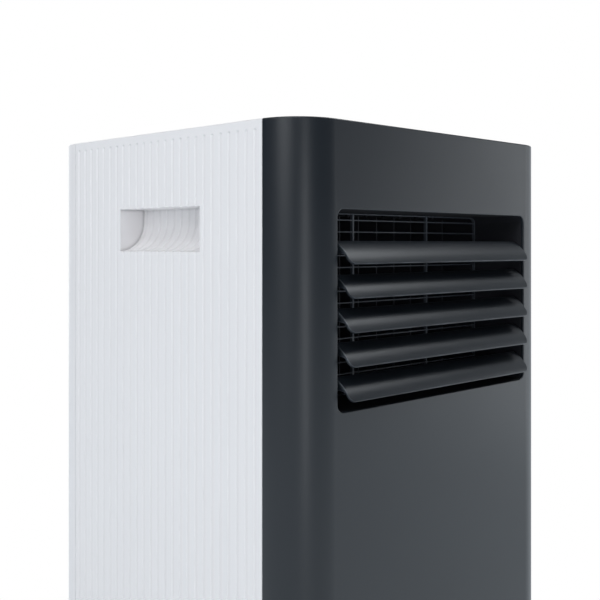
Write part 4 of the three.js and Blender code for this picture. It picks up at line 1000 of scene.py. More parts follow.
@dataclass
class WrapCover:
    """A cover that wraps two corners of the casing: the front for way -1, the back for 1."""

    way: int
    openings: Sequence[Opening]
    bottom_rim: float = 0.8
    top_rim: float = 1.3
    inner_rim: float = 0.3
    inner_lip: float = 0.1
    seam_rim: float = 0.5
    corner_steps: int = 20

    def section(self) -> list[Point]:
        """The upright section as pairs of inward distance and height, outer face first.

        Returns:
            Points of the section, from the foot up and down inside.
        """
        low, high, wall = CASING.bottom, CASING.height, CASING.wall
        outer = foot_rim(self.bottom_rim, low) + head_rim(self.top_rim, high, FINE_TURN)
        return outer + [(wall - self.inner_rim, high), (wall, high - self.inner_rim), (wall, low)]

    def stations(self) -> list[tuple[Point, Point, float]]:
        """Places along the plan: outer point, outward direction, and how far the face is sunk.

        Returns:
            The places, from one seam round to the other.
        """
        x, y, radius = CASING.half_width - CASING.corner, CASING.seam, CASING.corner
        rims = [math.degrees(self.seam_rim * share / radius) for share in (0.0, 0.15, 0.5, 1.0)]
        spread = [90.0 * step / self.corner_steps for step in range(1, self.corner_steps + 1)]
        places = []
        for middle, angles in ((-x, rims + spread), (x, [90 - a for a in reversed(rims + spread)])):
            start = 180 if middle < 0 else 270
            for angle in angles:
                turn = math.radians(start + angle)
                along = math.radians(angle if middle < 0 else 90 - angle) * radius
                sunk = sunk_near_edge(along, self.seam_rim)
                normal = (math.cos(turn), -self.way * math.sin(turn))
                point = (middle + radius * normal[0], self.way * y + radius * normal[1])
                places.append((point, normal, sunk))
        return places

    def build(self) -> Shape:
        """The cover's mesh.

        Returns:
            The mesh.
        """
        shape = Shape()
        section = self.section()
        made = []
        for point, normal, sunk in self.stations():
            ring = []
            for inward, height in section:
                inset = inward + sunk * (1 - inward / CASING.wall)
                ring.append((point[0] - normal[0] * inset, point[1] - normal[1] * inset, height))
            made.append(shape.ring(ring))
        outer, inner = len(COARSE_TURN) - 1, len(section) - 2
        middle = len(made) // 2 - 1
        for here, (first, second) in enumerate(zip(made, made[1:])):
            shape.bridge(first, second, skip=(outer, inner) if here == middle else ())
        shape.face(made[0])
        shape.face(made[-1])
        self.pierce(shape, made[middle], made[middle + 1], (outer, inner))
        return shape

    def pierce(self, shape: Shape, first: Verts, second: Verts, skipped: tuple[int, int]) -> None:
        """Fills the flat middle of the cover round its openings.

        Args:
            shape: Mesh of the cover.
            first: Points before the flat middle.
            second: Points after it.
            skipped: Rows of the outer and the inner face.
        """
        face, back = self.way * CASING.half_depth, self.way * (CASING.half_depth - CASING.wall)
        fronts, backs = [], []
        for opening in self.openings:
            levels = soft_levels(face, back, opening.lip, self.inner_lip, 5)
            front, rear = shape.wall(Plane.XZ, opening.outline, levels, -1)
            fronts.append(front)
            backs.append(rear)
        for index, loops in zip(skipped, (fronts, backs)):
            frame_loop = [first[index], first[index + 1], second[index + 1], second[index]]
            shape.fill([frame_loop, *loops])


@dataclass
class SidePanel:
    """A ribbed side panel with a scooped handle pocket: side -1 is the left, 1 the right."""

    side: int
    grooves: int = 25
    pitch: float = 10.42
    groove_half: float = 2.1
    floor_half: float = 1.1
    groove_steps: int = 6
    groove_depth: float = 0.8
    groove_top: float = 696.0
    rim: float = 0.8
    edge_rim: float = 0.6
    top_rim: float = 1.1
    pocket_half: float = 57.0
    pocket_top: float = 637.0
    pocket_depth: float = 26.0
    pocket_back: float = 11.8
    shell: float = 2.0
    scoop_steps: int = 20

    @property
    def edge(self) -> float:
        """Distance of the panel's upright edges from the middle."""
        return CASING.seam - CASING.gap

    @property
    def scoop_middle(self) -> float:
        """Height of the middle of the scoop's arc."""
        return self.pocket_top - self.pocket_back

    def sink(self, y: float, z: float) -> float:
        """How deep the grooves are at a place of the outer face.

        Args:
            y: Distance across the panel.
            z: Height.

        Returns:
            The depth.
        """
        nearest = round(y / self.pitch)
        if abs(nearest) > (self.grooves - 1) / 2:
            return 0.0
        off = y - nearest * self.pitch
        over = max(0.0, z - (self.groove_top - self.groove_half))
        reach = math.hypot(off, over)
        share = (self.groove_half - reach) / (self.groove_half - self.floor_half)
        share = min(max(share, 0.0), 1.0)
        return self.groove_depth * share * share * (3 - 2 * share)

    def groove_offsets(self) -> list[float]:
        """Distances from a groove's middle where the mesh has a line of points.

        Returns:
            The distances, nearest first.
        """
        wall = (self.groove_half - self.floor_half) / self.groove_steps
        slope = [self.floor_half + wall * step for step in range(self.groove_steps + 1)]
        return [0.0, self.floor_half / 2, *slope]

    def columns(self) -> list[float]:
        """Places across the panel where the mesh has a line of points.

        Returns:
            The places, in order.
        """
        offsets = self.groove_offsets()
        places = {self.pocket_half, -self.pocket_half}
        for index in range(self.grooves):
            middle = (index - (self.grooves - 1) / 2) * self.pitch
            for offset in offsets:
                places |= {middle + offset, middle - offset}
        for step in (0.0, 0.1, 0.3, self.edge_rim):
            places |= {self.edge - step, step - self.edge}
        return sorted(round(place, 4) for place in places)

    def low_rows(self) -> list[Point]:
        """Inward distance and height of the rows under the pocket."""
        sill = self.scoop_middle - self.pocket_depth - self.rim
        return [*foot_rim(self.rim, CASING.bottom), (0.0, 300.0), (0.0, sill)]

    def high_rows(self) -> list[Point]:
        """Inward distance and height of the rows over the pocket.

        Returns:
            The rows, from the pocket up.
        """
        base = self.groove_top - self.groove_half
        ends = [(0.0, base + offset) for offset in self.groove_offsets()]
        return [(0.0, self.pocket_top + self.rim), *ends, *head_rim(self.top_rim, CASING.height)]

    def pocket_rows(self) -> list[tuple[Point, Point]]:
        """Rows of the pocket from its sill to its upper lip: each point and where grooves sink.

        Returns:
            The rows, from the sill up.
        """
        rim, depth, middle = self.rim, self.pocket_depth, self.scoop_middle
        sill = middle - depth - rim
        rows: list[tuple[Point, Point]] = []
        for angle in TURN[1:-1]:
            spot = (rim - rim * math.cos(angle), sill + rim * math.sin(angle))
            rows.append((spot, (math.cos(angle), -math.sin(angle))))
        start = math.asin(rim / depth)
        for step in range(self.scoop_steps + 1):
            angle = start + (math.pi / 2 - start) * step / self.scoop_steps
            way = (math.sin(angle), -math.cos(angle))
            rows.append(((depth * way[0], middle + depth * way[1]), way))
        rows.append(((depth, self.pocket_top - self.edge_rim), (1.0, 0.0)))
        rows.append(((depth - self.edge_rim, self.pocket_top), (1.0, 0.0)))
        rows.append(((rim + 1.5, self.pocket_top), (0.0, 0.0)))
        lip = self.pocket_top + rim
        for angle, share in ((1.57, 0.0), (1.1, 0.2), (0.7, 0.5), (0.35, 0.8)):
            rows.append(((rim - rim * math.cos(angle), lip - rim * math.sin(angle)), (share, 0.0)))
        return rows

    def point(self, inward: float, y: float, z: float) -> Place:
        """A place of the panel from its distance in from the outer face."""
        return (self.side * (CASING.half_width - inward), y, z)

    def outer_column(self, shape: Shape, y: float, rows: Sequence[Point]) -> Verts:
        """One line of points up the outer face.

        Args:
            shape: Mesh of the panel.
            y: Distance across the panel.
            rows: Inward distance and height of each point.

        Returns:
            The new points.
        """
        points = []
        edge = sunk_near_edge(self.edge - abs(y), self.edge_rim)
        for inward, z in rows:
            fade = max(0.0, 1 - inward / self.rim)
            inset = inward + self.sink(y, z) * fade + edge * (1 - inward / CASING.wall)
            points.append(self.point(inset, y, z))
        return shape.ring(points)

    def pocket_column(self, shape: Shape, y: float) -> Verts:
        """One line of points through the pocket.

        Args:
            shape: Mesh of the panel.
            y: Distance across the panel.

        Returns:
            The new points.
        """
        groove = self.sink(y, self.pocket_top)
        points = []
        for (inward, z), way in self.pocket_rows():
            points.append(self.point(inward + groove * way[0], y, z + groove * way[1]))
        return shape.ring(points)

    def build(self) -> Shape:
        """The panel's mesh.

        Returns:
            The mesh.
        """
        shape = Shape()
        places = self.columns()
        lows = [self.outer_column(shape, y, self.low_rows()) for y in places]
        highs = [self.outer_column(shape, y, self.high_rows()) for y in places]
        pockets = {}
        for index, y in enumerate(places):
            if abs(y) <= self.pocket_half:
                inner = self.pocket_column(shape, y)
                pockets[index] = [lows[index][-1], *inner, highs[index][0]]
        for index in range(len(places) - 1):
            shape.bridge(lows[index], lows[index + 1], closed=False)
            shape.bridge(highs[index], highs[index + 1], closed=False)
            if index in pockets and index + 1 in pockets:
                shape.bridge(pockets[index], pockets[index + 1], closed=False)
            else:
                shape.face([lows[index][-1], lows[index + 1][-1], highs[index + 1][0], highs[index][0]])
        for index in (min(pockets), max(pockets)):
            shape.face(pockets[index])
        rim = [column[0] for column in lows] + lows[-1][1:] + highs[-1]
        rim += [column[-1] for column in reversed(highs[:-1])]
        rim += list(reversed(highs[0][:-1])) + list(reversed(lows[0][1:]))
        self.close(shape, rim)
        return shape

    def close(self, shape: Shape, rim: Verts) -> None:
        """Adds the inner face and the pocket's outer shell behind the skin.

        Args:
            shape: Mesh of the panel.
            rim: Border of the skin.
        """
        inner = shape.ring(self.point(CASING.wall, v.co.y, v.co.z) for v in rim)
        shape.bridge(rim, inner)
        reach = self.pocket_depth + self.shell
        start = math.asin(CASING.wall / reach)
        angles = [start + (math.pi / 2 - start) * step / 10 for step in range(11)]
        profile = [(reach * math.sin(a), self.scoop_middle - reach * math.cos(a)) for a in angles]
        profile += [(reach, self.pocket_top + self.shell), (CASING.wall, self.pocket_top + self.shell)]
        half = self.pocket_half + self.shell
        ends = [shape.ring(self.point(d, y, z) for d, z in profile) for y in (-half, half)]
        shape.bridge(ends[0], ends[1], closed=False)
        for end in ends:
            shape.face(end)
        shape.fill([inner, [ends[0][0], ends[0][-1], ends[1][-1], ends[1][0]]])


@dataclass
class Enclosure:
    """The covers, side panels and top of the casing."""

    outlet: Outline
    back_openings: Sequence[Opening]
    panel: Outline
    top: float = 702.0
    top_thickness: float = 3.0
    skirt: float = 10.0
    skirt_wall: float = 2.0
    lip: float = 1.0
    ledge: float = 3.0
    ledge_levels: Point = (695.7, 698.7)
    rail_levels: Point = (438.0, 648.0)
    rail_front: float = 151.2
    groove_crease: float = 50.0

    def build(self) -> None:
        """Makes the four walls and the top."""
        front = WrapCover(-1, [Opening(self.outlet, self.lip)]).build()
        front.piece("front_cover_moulding", CASING_BODY, CHARCOAL, ["front_cover"])
        back = WrapCover(1, self.back_openings).build()
        self.add_rails(back)
        back.piece("back_cover_moulding", CASING_BODY, WHITE, ["back_cover"])
        for side, label in zip(SIDES, ("left", "right")):
            name = f"side_panel_{label}"
            panel = SidePanel(side).build()
            panel.piece(name + "_moulding", CASING_BODY, WHITE, [name], self.groove_crease)
        self.build_top()

    def add_rails(self, shape: Shape) -> None:
        """Adds the filter's rails and the hinge bosses behind the back cover.

        Args:
            shape: Mesh of the back cover.
        """
        inside = CASING.half_depth - CASING.wall
        front, levels = self.rail_front, self.rail_levels
        for side in SIDES:
            shape.block((side * 118.4, side * 122), (front, inside), levels, 0.2)
            shape.block((side * 114, side * 122), (front, front + 2.7), levels, 0.2)
            shape.block((side * 119.5, side * 126.4), (inside - 9, inside), (424.5, 435.5), 0.4)

    def build_top(self) -> None:
        """Makes the top cover with its skirt and the ledge that holds the control panel."""
        inset = CASING.wall + CASING.cover_gap
        under = self.top - self.top_thickness
        rim, inside = CASING.outline(inset), CASING.outline(inset + self.skirt_wall)
        hole = shifted(self.panel, -CASING.cover_gap)
        window = shifted(self.panel, self.ledge)
        ledge = shifted(self.panel, -CASING.cover_gap - self.ledge)
        shape = Shape()
        shape.plate(Plane.XY, rim, under, self.top, (0.1, 0.9), [hole], 4)
        shape.plate(Plane.XY, rim, under - self.skirt, under, (0.2, 0.02), [inside])
        shape.plate(Plane.XY, ledge, *self.ledge_levels, (0.2, 0.2), [window])
        shape.piece("top_cover_moulding", CASING_BODY, CHARCOAL, ["top_cover"])


# ---- Controls ------------------------------------------------------------------------------


@dataclass
class Controls:
    """The control panel let into the top: keys, display and printed symbols."""

    length: float = 156.0
    depth: float = 60.0
    y: float = -120.0
    radius: float = 6.0
    surface: float = 701.7
    thickness: float = 2.4
    key_radius: float = 7.8
    key_pitch: float = 24.0
    key_y: float = -132.0
    key_top: float = 702.9
    key_bottom: float = 696.7
    key_rim: float = 0.9
    key_dish: float = 0.35
    stem_radius: float = 2.5
    stem_bottom: float = 685.8
    post_x: float = 69.0
    post_levels: Point = (684.9, 699.4)
    keys: tuple[str, ...] = ("power", "mode", "up", "down", "timer")
    display: tuple[float, float, float] = (62.0, 18.0, -108.0)
    display_top: float = 701.6
    ink: float = 0.08
    digits: tuple[tuple[float, str], ...] = ((-6.5, "abged"), (2.5, "fgbc"))
    digit_half: Point = (2.3, 4.6)
    bar_half: float = 0.45
    degree: Point = (9.6, 4.2)

    def outline(self, inset: float) -> list[Point]:
        """The panel's outline, let in by a distance."""
        return centred(0, self.y, self.length / 2, self.depth / 2, self.radius)(inset)

    def display_outline(self, margin: float) -> Outline:
        """The display's outline, let out by a margin."""
        length, depth, y = self.display
        return centred(0, y, length / 2 + margin, depth / 2 + margin, 2 + margin)

    def key_x(self, index: int) -> float:
        """Place of a key across the panel."""
        return (index - (len(self.keys) - 1) / 2) * self.key_pitch

    def build(self) -> None:
        """Makes the panel, the keys, the display and the board."""
        holes = [circle(self.key_x(i), self.key_y, self.key_radius + 0.4) for i in range(len(self.keys))]
        holes.append(self.display_outline(0.3))
        panel, under = Shape(), self.surface - self.thickness
        panel.plate(Plane.XY, self.outline, under, self.surface, (0.2, 0.45), holes)
        for side in SIDES:
            panel.rod(Plane.XY, (side * self.post_x, self.y), 3, *self.post_levels)
        panel.piece("control_panel_moulding", CASING_BODY, GLOSS, ["control_panel"])
        for index, key in enumerate(self.keys):
            self.build_key(index, key)
        self.build_display()
        dress_node("display_board", BOARD, 0.15)

    def build_key(self, index: int, key: str) -> None:
        """Makes one key, dished on top, and its printed symbol.

        Args:
            index: Place in the row, from the left.
            key: Name of the key.
        """
        centre, radius = (self.key_x(index), self.key_y), self.key_radius
        top, low, body = self.key_top, self.key_bottom, f"button_{key}"
        edge = radius + 1.4
        stem = [(self.stem_radius, self.stem_bottom), (self.stem_radius, low)]
        flange = [(edge - 0.2, low), (edge, low + 0.2), (edge, low + 1.8), (edge - 0.2, low + 2)]
        rim = [(radius - inward, height) for inward, height in head_rim(self.key_rim, top)]
        shares = (0.82, 0.66, 0.5, 0.33, 0.17, 0.05)
        dish = [(radius * share, top - self.key_dish * (1 - share * share)) for share in shares]
        cap = Shape().turned(Plane.XY, [*stem, *flange, (radius, low + 2), *rim, *dish], centre)
        cap.piece(body + "_cap", body, CHARCOAL, [body])
        symbol, floor = Shape(), top - self.key_dish
        for outline in self.symbol(key, centre):
            symbol.plate(Plane.XY, outline, floor - 0.05, floor + self.ink + 0.12, (0.02, 0.04), steps=1)
        symbol.piece(body + "_symbol", body, INK)

    def symbol(self, key: str, centre: Point) -> list[Outline]:
        """The strokes of a key's symbol, about its centre.

        Args:
            key: Name of the key.
            centre: Middle of the key.

        Returns:
            Outline of each stroke.
        """
        x, y = centre
        if key == "power":
            return [band(centre, 2.7, 0.6, 125, 415), centred(x, y + 2.2, 0.3, 1.4, 0.2, 2)]
        if key == "mode":
            hubs = [(arc(centre, 1.5, turn, turn, 1)[0], turn) for turn in (90, 210, 330)]
            return [band(hub, 1.3, 0.55, turn - 130, turn + 90, 12) for hub, turn in hubs]
        if key == "timer":
            hands = [centred(x, y + 1, 0.25, 1, 0.2, 2), centred(x + 0.625, y, 0.875, 0.25, 0.2, 2)]
            return [band(centre, 2.8, 0.5, 0, 359.5, 32), *hands]
        way = 1 if key == "up" else -1
        return [polygon([(x - 2.4, y - 1.6 * way), (x + 2.4, y - 1.6 * way), (x, y + 2.4 * way)])]

    def build_display(self) -> None:
        """Makes the display's window, its lit digits and the degree ring beside them."""
        window, top = Shape(), self.display_top
        window.plate(Plane.XY, self.display_outline(0), 697.3, top, (0.05, 0.15))
        window.plate(Plane.XY, self.display_outline(2.5), 697, 699, (0.2, 0.2))
        window.piece("display_window_lens", CASING_BODY, GLOSS, ["display_window"])
        y = self.display[2]
        marks = [self.segment(bar, x, y) for x, lit in self.digits for bar in lit]
        marks.append(band((self.degree[0], y + self.degree[1]), 0.9, 0.45, 0, 359.5))
        digits = Shape()
        for mark in marks:
            digits.plate(Plane.XY, mark, top - 0.05, top + self.ink, (0.02, 0.02), steps=1)
        digits.piece("display_digits", CASING_BODY, DIGIT)

    def segment(self, bar: str, x: float, y: float) -> Outline:
        """One bar of a seven-bar digit, whose middle is at x and y.

        Args:
            bar: Letter of the bar.
            x: Middle of the digit across.
            y: Middle of the digit along.

        Returns:
            Outline of the bar.
        """
        (half, reach), thick = self.digit_half, self.bar_half
        levels = {"a": reach, "g": 0.0, "d": -reach}
        if bar in levels:
            return centred(x, y + levels[bar], half - 0.5, thick, 0.4, 2)
        side = half if bar in "bc" else -half
        rise = reach / 2 if bar in "bf" else -reach / 2
        return centred(x + side, y + rise, thick, reach / 2 - 0.5, 0.4, 2)


# ---- Outlet --------------------------------------------------------------------------------


@dataclass
class Outlet:
    """The air outlet: its duct, the guard grille, and the vanes behind it."""

    half: float = 134.3
    top: float = 632.6
    bottom: float = 473.6
    radius: float = 7.0
    duct_wall: float = 2.2
    duct_front: float = -169.9
    duct_back: float = -58.0
    flange_rise: float = 9.2
    flange_depth: float = 2.0
    guard_front: float = -117.0
    guard_thickness: float = 3.0
    guard_gap: float = 0.4
    guard_border: float = 1.5
    bar_gap: float = 1.2
    first_bar: float = 6.3
    bar_pitch: float = 10.3
    bar_height: float = 1.1
    rib_x: float = 53.0
    rib_width: float = 2.4
    vanes: int = 9

    def throat(self, margin: float, steps: int = 8) -> Outline:
        """The clear opening, let out by a margin."""
        x = self.half + margin
        return rounded(-x, x, self.bottom - margin, self.top + margin, self.radius + margin, steps)

    def build(self) -> None:
        """Makes the duct and the guard, and dresses the vanes and their drive."""
        duct, outer = Shape(), self.throat(self.duct_wall)
        front, rise = self.duct_front, self.flange_rise
        duct.plate(Plane.XZ, outer, front, self.duct_back, (0.3, 0.3), [self.throat(0)])
        x = self.half + self.duct_wall
        flange = rounded(-x, x, self.bottom - rise, self.top + rise, 1)
        duct.plate(Plane.XZ, flange, front, front + self.flange_depth, (0.2, 0.2), [outer])
        for side in SIDES:
            duct.block((side * 131.3, side * 134.6), (-113.7, -109.7), (503.1, 603.1), 0.3)
        duct.piece("outlet_duct_moulding", CASING_BODY, BLACK, ["outlet_duct"])
        self.build_guard()
        for index in range(self.vanes):
            dress_node(f"vane_{index + 1}", BLACK, 0.35)
        dress_node("vane_link", BLACK)
        dress_node("vane_motor", STEEL)

    def build_guard(self) -> None:
        """Makes the guard: a border, level bars and two upright ribs with round noses."""
        guard = Shape()
        front, back = self.guard_front, self.guard_front + self.guard_thickness
        border, inside = self.throat(-self.guard_gap), self.throat(-self.guard_border)
        guard.plate(Plane.XZ, border, front, back, (0.4, 0.2), [inside])
        count = int((self.top - self.bottom - self.first_bar) / self.bar_pitch) + 1
        reach, half = self.half - self.bar_gap, self.bar_height / 2
        for row in range(count):
            z = self.top - self.first_bar - row * self.bar_pitch
            guard.block((-reach, reach), (front, back), (z - half, z + half), 0.35)
        half = self.rib_width / 2
        for side in SIDES:
            x = side * self.rib_x
            guard.block((x - half, x + half), (front - 0.05, back), (self.bottom + 1.4, self.top - 1.4), 0.45)
        guard.piece("guard_grille_moulding", CASING_BODY, GUARD, ["guard_grille"])


@dataclass
class Louvres:
    """The level blades of the outlet, with the link and crank that tilt them."""

    count: int = 5
    pitch: float = 26.9
    first_lip: float = 590.5
    lip_y: float = -179.9
    chord: float = 22.6
    slope: float = 45.4
    sag: float = 1.8
    thickness: float = 2.2
    left: float = -128.5
    right: float = 131.3
    corner: float = 5.5
    fillet: float = 0.5
    ear_width: float = 2.5
    pin: float = 2.0
    pin_reach: float = 136.3
    link_pin: float = 1.2
    link_pin_end: float = -131.8
    link_arm: float = 10.0
    steps: int = 18

    @property
    def bend(self) -> float:
        """Radius of the blade's curved midline."""
        half = self.chord / 2
        return half * half / (2 * self.sag) + self.sag / 2

    def midline(self, index: int, share: float) -> tuple[Point, Point]:
        """A place of the midline as y and z, from lip to ridge, and the way its upper face looks.

        Args:
            index: Number of the blade.
            share: How far up the strip, from 0 to 1.

        Returns:
            The place and the direction.
        """
        half, slope = self.chord / 2, math.radians(self.slope)
        sweep = math.asin(half / self.bend)
        lip_z = self.first_lip - index * self.pitch
        y = self.lip_y + half * math.cos(slope) + (self.bend - self.sag) * math.sin(slope)
        z = lip_z + half * math.sin(slope) - (self.bend - self.sag) * math.cos(slope)
        angle = slope + math.pi / 2 + sweep - 2 * sweep * share
        way = (math.cos(angle), math.sin(angle))
        return (y + self.bend * way[0], z + self.bend * way[1]), way

    def pivot(self, index: int) -> Point:
        """The blade's pivot as y and z."""
        (y, z), _ = self.midline(index, 1.0)
        return y - 1.0, z - 5.4

    def strip_ring(self, index: int, travel: float) -> list[Place]:
        """One closed line of points round the blade, at a distance up from its front edge.

        Args:
            index: Number of the blade.
            travel: Distance up from the front edge.

        Returns:
            Points of the ring.
        """
        half = self.thickness / 2
        length = self.chord + 2 * half
        near = min(travel, length - travel)
        over = max(self.fillet - near, 0.0)
        thick = half - self.fillet + math.sqrt(max(self.fillet**2 - over * over, 0.0))
        corner = self.corner + half
        inset = 0.0
        if travel < corner:
            inset = corner - math.sqrt(max(corner * corner - (corner - travel) ** 2, 0.0))
        (y, z), way = self.midline(index, (travel - half) / self.chord)
        points = []
        for x, lift in rounded(self.left + inset, self.right - inset, -thick, thick, self.fillet, 4)(0):
            points.append((x, y + lift * way[0], z + lift * way[1]))
        return points

    def build_strip(self, shape: Shape, index: int) -> None:
        """Adds the curved strip, whose rim is rounded all the way round.

        Args:
            shape: Mesh of the blade.
            index: Number of the blade.
        """
        half = self.thickness / 2
        length = self.chord + 2 * half
        rim = [self.fillet * (1 - math.cos(a)) for a in TURN]
        run = [half + (length - 2 * half) * step / self.steps for step in range(self.steps + 1)]
        places = sorted({*rim, *run, *(length - r for r in rim), 1.6, 2.3})
        shape.loft([self.strip_ring(index, travel) for travel in places])

    def ear(self, index: int, cranked: bool) -> Outline:
        """Outline of the plate at a blade's end, as y and z.

        Args:
            index: Number of the blade.
            cranked: Whether it reaches back to the link.

        Returns:
            The outline.
        """
        y, z = self.pivot(index)
        rim = [self.midline(index, share)[0] for share in (0.35, 0.5, 0.65, 0.8, 0.94)]
        end = y + (self.link_arm if cranked else 0.0)
        back = arc((end, z), 3.2, 80, -90, 7)
        return polygon([*rim, *back, (y - 4.8, z - 3.2)])

    def build(self) -> None:
        """Makes the blades and dresses their drive."""
        for index in range(self.count):
            shape = Shape()
            self.build_strip(shape, index)
            y, z = self.pivot(index)
            left, right = self.left, self.right
            shape.plate(Plane.YZ, self.ear(index, True), left, left + self.ear_width)
            shape.plate(Plane.YZ, self.ear(index, False), right - self.ear_width, right)
            shape.rod(Plane.YZ, (y, z), self.pin, -self.pin_reach, left + 1)
            shape.rod(Plane.YZ, (y, z), self.pin, right - 1, self.pin_reach)
            shape.rod(Plane.YZ, (y + self.link_arm, z), self.link_pin, self.link_pin_end, left + 1)
            name = f"louvre_blade_{index + 1}"
            shape.piece(name + "_moulding", name, BLADE, [name])
        dress_node("blade_link", BLACK)
        dress_node("blade_crank", BLACK, 0.3)
        dress_node("blade_motor", STEEL)


# ---- Back ----------------------------------------------------------------------------------


@dataclass
class SlotField:
    """Two columns of level slots."""

    bottom: float
    rows: int
    pitch: float = 14.0
    height: float = 6.0
    length: float = 98.0
    middle: float = 54.0
    end_radius: float = 2.6

    def outlines(self) -> list[Outline]:
        """Outline of each slot, with round ends.

        Returns:
            The outlines, row by row.
        """
        made = []
        for row in range(self.rows):
            z = self.bottom + row * self.pitch + self.height / 2
            for side in SIDES:
                x = side * self.middle
                made.append(centred(x, z, self.length / 2, self.height / 2, self.end_radius, 4))
        return made


@dataclass
class Back:
    """What sits in the back cover: filter door, filter, hose collar, drain plug and cord inlet."""

    door_half: float = 118.0
    door_bottom: float = 424.0
    door_top: float = 648.0
    outer: float = 173.0
    inner: float = 170.2
    collar: Point = (40.0, 258.0)
    collar_radius: float = 60.0
    collar_end: float = 181.0
    drain: Point = (-60.0, 55.0)
    inlet: Point = (-118.0, 62.0)
    hinge: Point = (167.0, 430.0)
    notch: float = 12.0
    notch_rise: float = 5.0
    screw_x: float = 128.0
    screw_levels: tuple[float, ...] = (36.0, 340.0, 684.0, 190.0)

    @property
    def face(self) -> float:
        """Depth of the plane that what stands on the back cover rests on."""
        return self.outer + 0.3

    @property
    def screws(self) -> list[Point]:
        """Place of each screw."""
        return [(side * self.screw_x, z) for z in self.screw_levels for side in SIDES]

    def openings(self) -> list[Opening]:
        """The openings of the back cover.

        Returns:
            The openings.
        """
        half = self.door_half + 0.4
        made = [Opening(rounded(-half, half, self.door_bottom - 3.5, self.door_top + 0.4, 1.5), 0.4)]
        made += [Opening(outline, 0.5) for outline in SlotField(74.0, 8).outlines()]
        made.append(Opening(circle(*self.collar, self.collar_radius + 2.9, 64), 0.3))
        made.append(Opening(circle(*self.drain, 6.5, 24), 0.3))
        made.append(Opening(circle(*self.inlet, 6.0, 24), 0.3))
        return made

    def door_outline(self, inset: float) -> list[Point]:
        """The door's outline, with the finger notch in its top edge.

        Args:
            inset: Distance let in.

        Returns:
            Points of the outline.
        """
        half, low, high = self.door_half - inset, self.door_bottom + inset, self.door_top - inset
        radius = max(3.0 - inset, 0.1)
        notch, rise = self.notch + inset, self.notch_rise + inset
        reach = math.degrees(math.acos(rise / notch))
        points = arc((half - radius, high - radius), radius, 0, 90, 6)
        points += arc((0, high + rise), notch, -90 + reach, -90 - reach, 14)
        points += arc((-half + radius, high - radius), radius, 90, 180, 6)
        points += arc((-half + radius, low + radius), radius, 180, 270, 6)
        return points + arc((half - radius, low + radius), radius, 270, 360, 6)

    def build(self) -> None:
        """Makes everything at the back."""
        slots = SlotField(self.door_bottom + 14, 14).outlines()
        door = Shape().plate(Plane.XZ, self.door_outline, self.inner, self.outer, (0.2, 0.6), slots)
        for side in SIDES:
            y, z = self.hinge
            door.block((side * 113, side * 118), (y - 3, self.inner + 0.4), (z - 3, z + 3), 0.4)
            door.rod(Plane.YZ, self.hinge, 1.5, side * 117, side * 125)
        door.block((-113, 113), (168.6, self.inner + 0.3), (433.8, 435.2), 0.3)
        door.piece("filter_door_moulding", "filter_door", WHITE, ["filter_door"])
        dress_node("air_filter", MESH, 0.5)
        self.build_collar()
        self.build_drain()
        self.build_inlet()
        self.build_screws()

    def build_collar(self) -> None:
        """Makes the collar the exhaust hose locks into, with three bayonet lugs."""
        radius, face, end = self.collar_radius, self.face, self.collar_end
        outer, flange = radius + 2.5, radius + 13.5
        profile = [
            (radius, 163.2), (outer - 0.3, 163.2), (outer, 163.5), (outer, face), (flange - 0.3, face),
            (flange, face + 0.3), (flange, face + 1.1), (flange - 0.25, face + 1.7),
            (flange - 0.9, face + 2), (outer + 1.4, face + 2), (outer + 0.4, face + 2.4),
            (outer, face + 3.4), (outer, end - 0.8), (outer - 0.25, end - 0.25), (outer - 0.8, end),
            (radius + 0.8, end), (radius + 0.25, end - 0.25), (radius, end - 0.8),
        ]
        collar = Shape().turned(Plane.XZ, profile, self.collar, 96, hollow=True)
        for turn in (90, 210, 330):
            lug = band(self.collar, outer + 1.4, 3.2, turn - 9, turn + 9, 10)
            collar.plate(Plane.XZ, lug, face + 2.6, face + 6.6, (0.4, 0.5), steps=2)
        collar.piece("exhaust_collar_moulding", CASING_BODY, CHARCOAL, ["exhaust_collar"])

    def build_drain(self) -> None:
        """Makes the rubber drain plug with its pull."""
        stem = [(4.4, 159.2), (5, 161.2), (4.7, 163), (5, 165), (4.7, 167), (5, 169)]
        head = [
            (5, 0), (8.6, 0), (9, 0.4), (9, 2.2), (8.7, 2.7), (8.1, 3), (4.6, 3), (4.1, 3.4),
            (4, 4.5), (4, 6.3), (3.7, 6.8), (3.1, 7),
        ]
        profile = stem + [(radius, self.face + rise) for radius, rise in head]
        plug = Shape().turned(Plane.XZ, profile, self.drain, 32)
        plug.piece("drain_plug_moulding", "drain_plug", RUBBER, ["drain_plug"])

    def build_inlet(self) -> None:
        """Makes the rubber grommet of the supply cord, with no cord in it."""
        bore = 3.4
        neck = [(bore, 168.2), (5.3, 168.2), (5.5, 168.6)]
        head = [
            (5.5, 0), (9.2, 0), (9.5, 0.4), (9.3, 2), (8.9, 2.7), (8.1, 3.1), (5.4, 4.1),
            (4.6, 4.4), (3.8, 4.4), (bore, 4),
        ]
        profile = neck + [(radius, self.face + rise) for radius, rise in head]
        grommet = Shape().turned(Plane.XZ, profile, self.inlet, 32, hollow=True)
        grommet.piece("cord_inlet_grommet", CASING_BODY, RUBBER, ["cord_inlet"])

    def build_screws(self) -> None:
        """Makes the cross-head screws that hold the back cover, with a black cross on each head as painted
        shade for its recess.
        """
        screws, recess_shade = Shape(), Shape()
        steps = [(3.6, -1), (3.6, 0.15), (3.3, 0.55), (2.6, 0.85), (1.6, 1)]
        dome = [(radius, self.outer + rise) for radius, rise in steps]
        low, high = self.outer + 0.5, self.outer + 1.03
        for x, z in self.screws:
            screws.turned(Plane.XZ, dome, (x, z), 24)
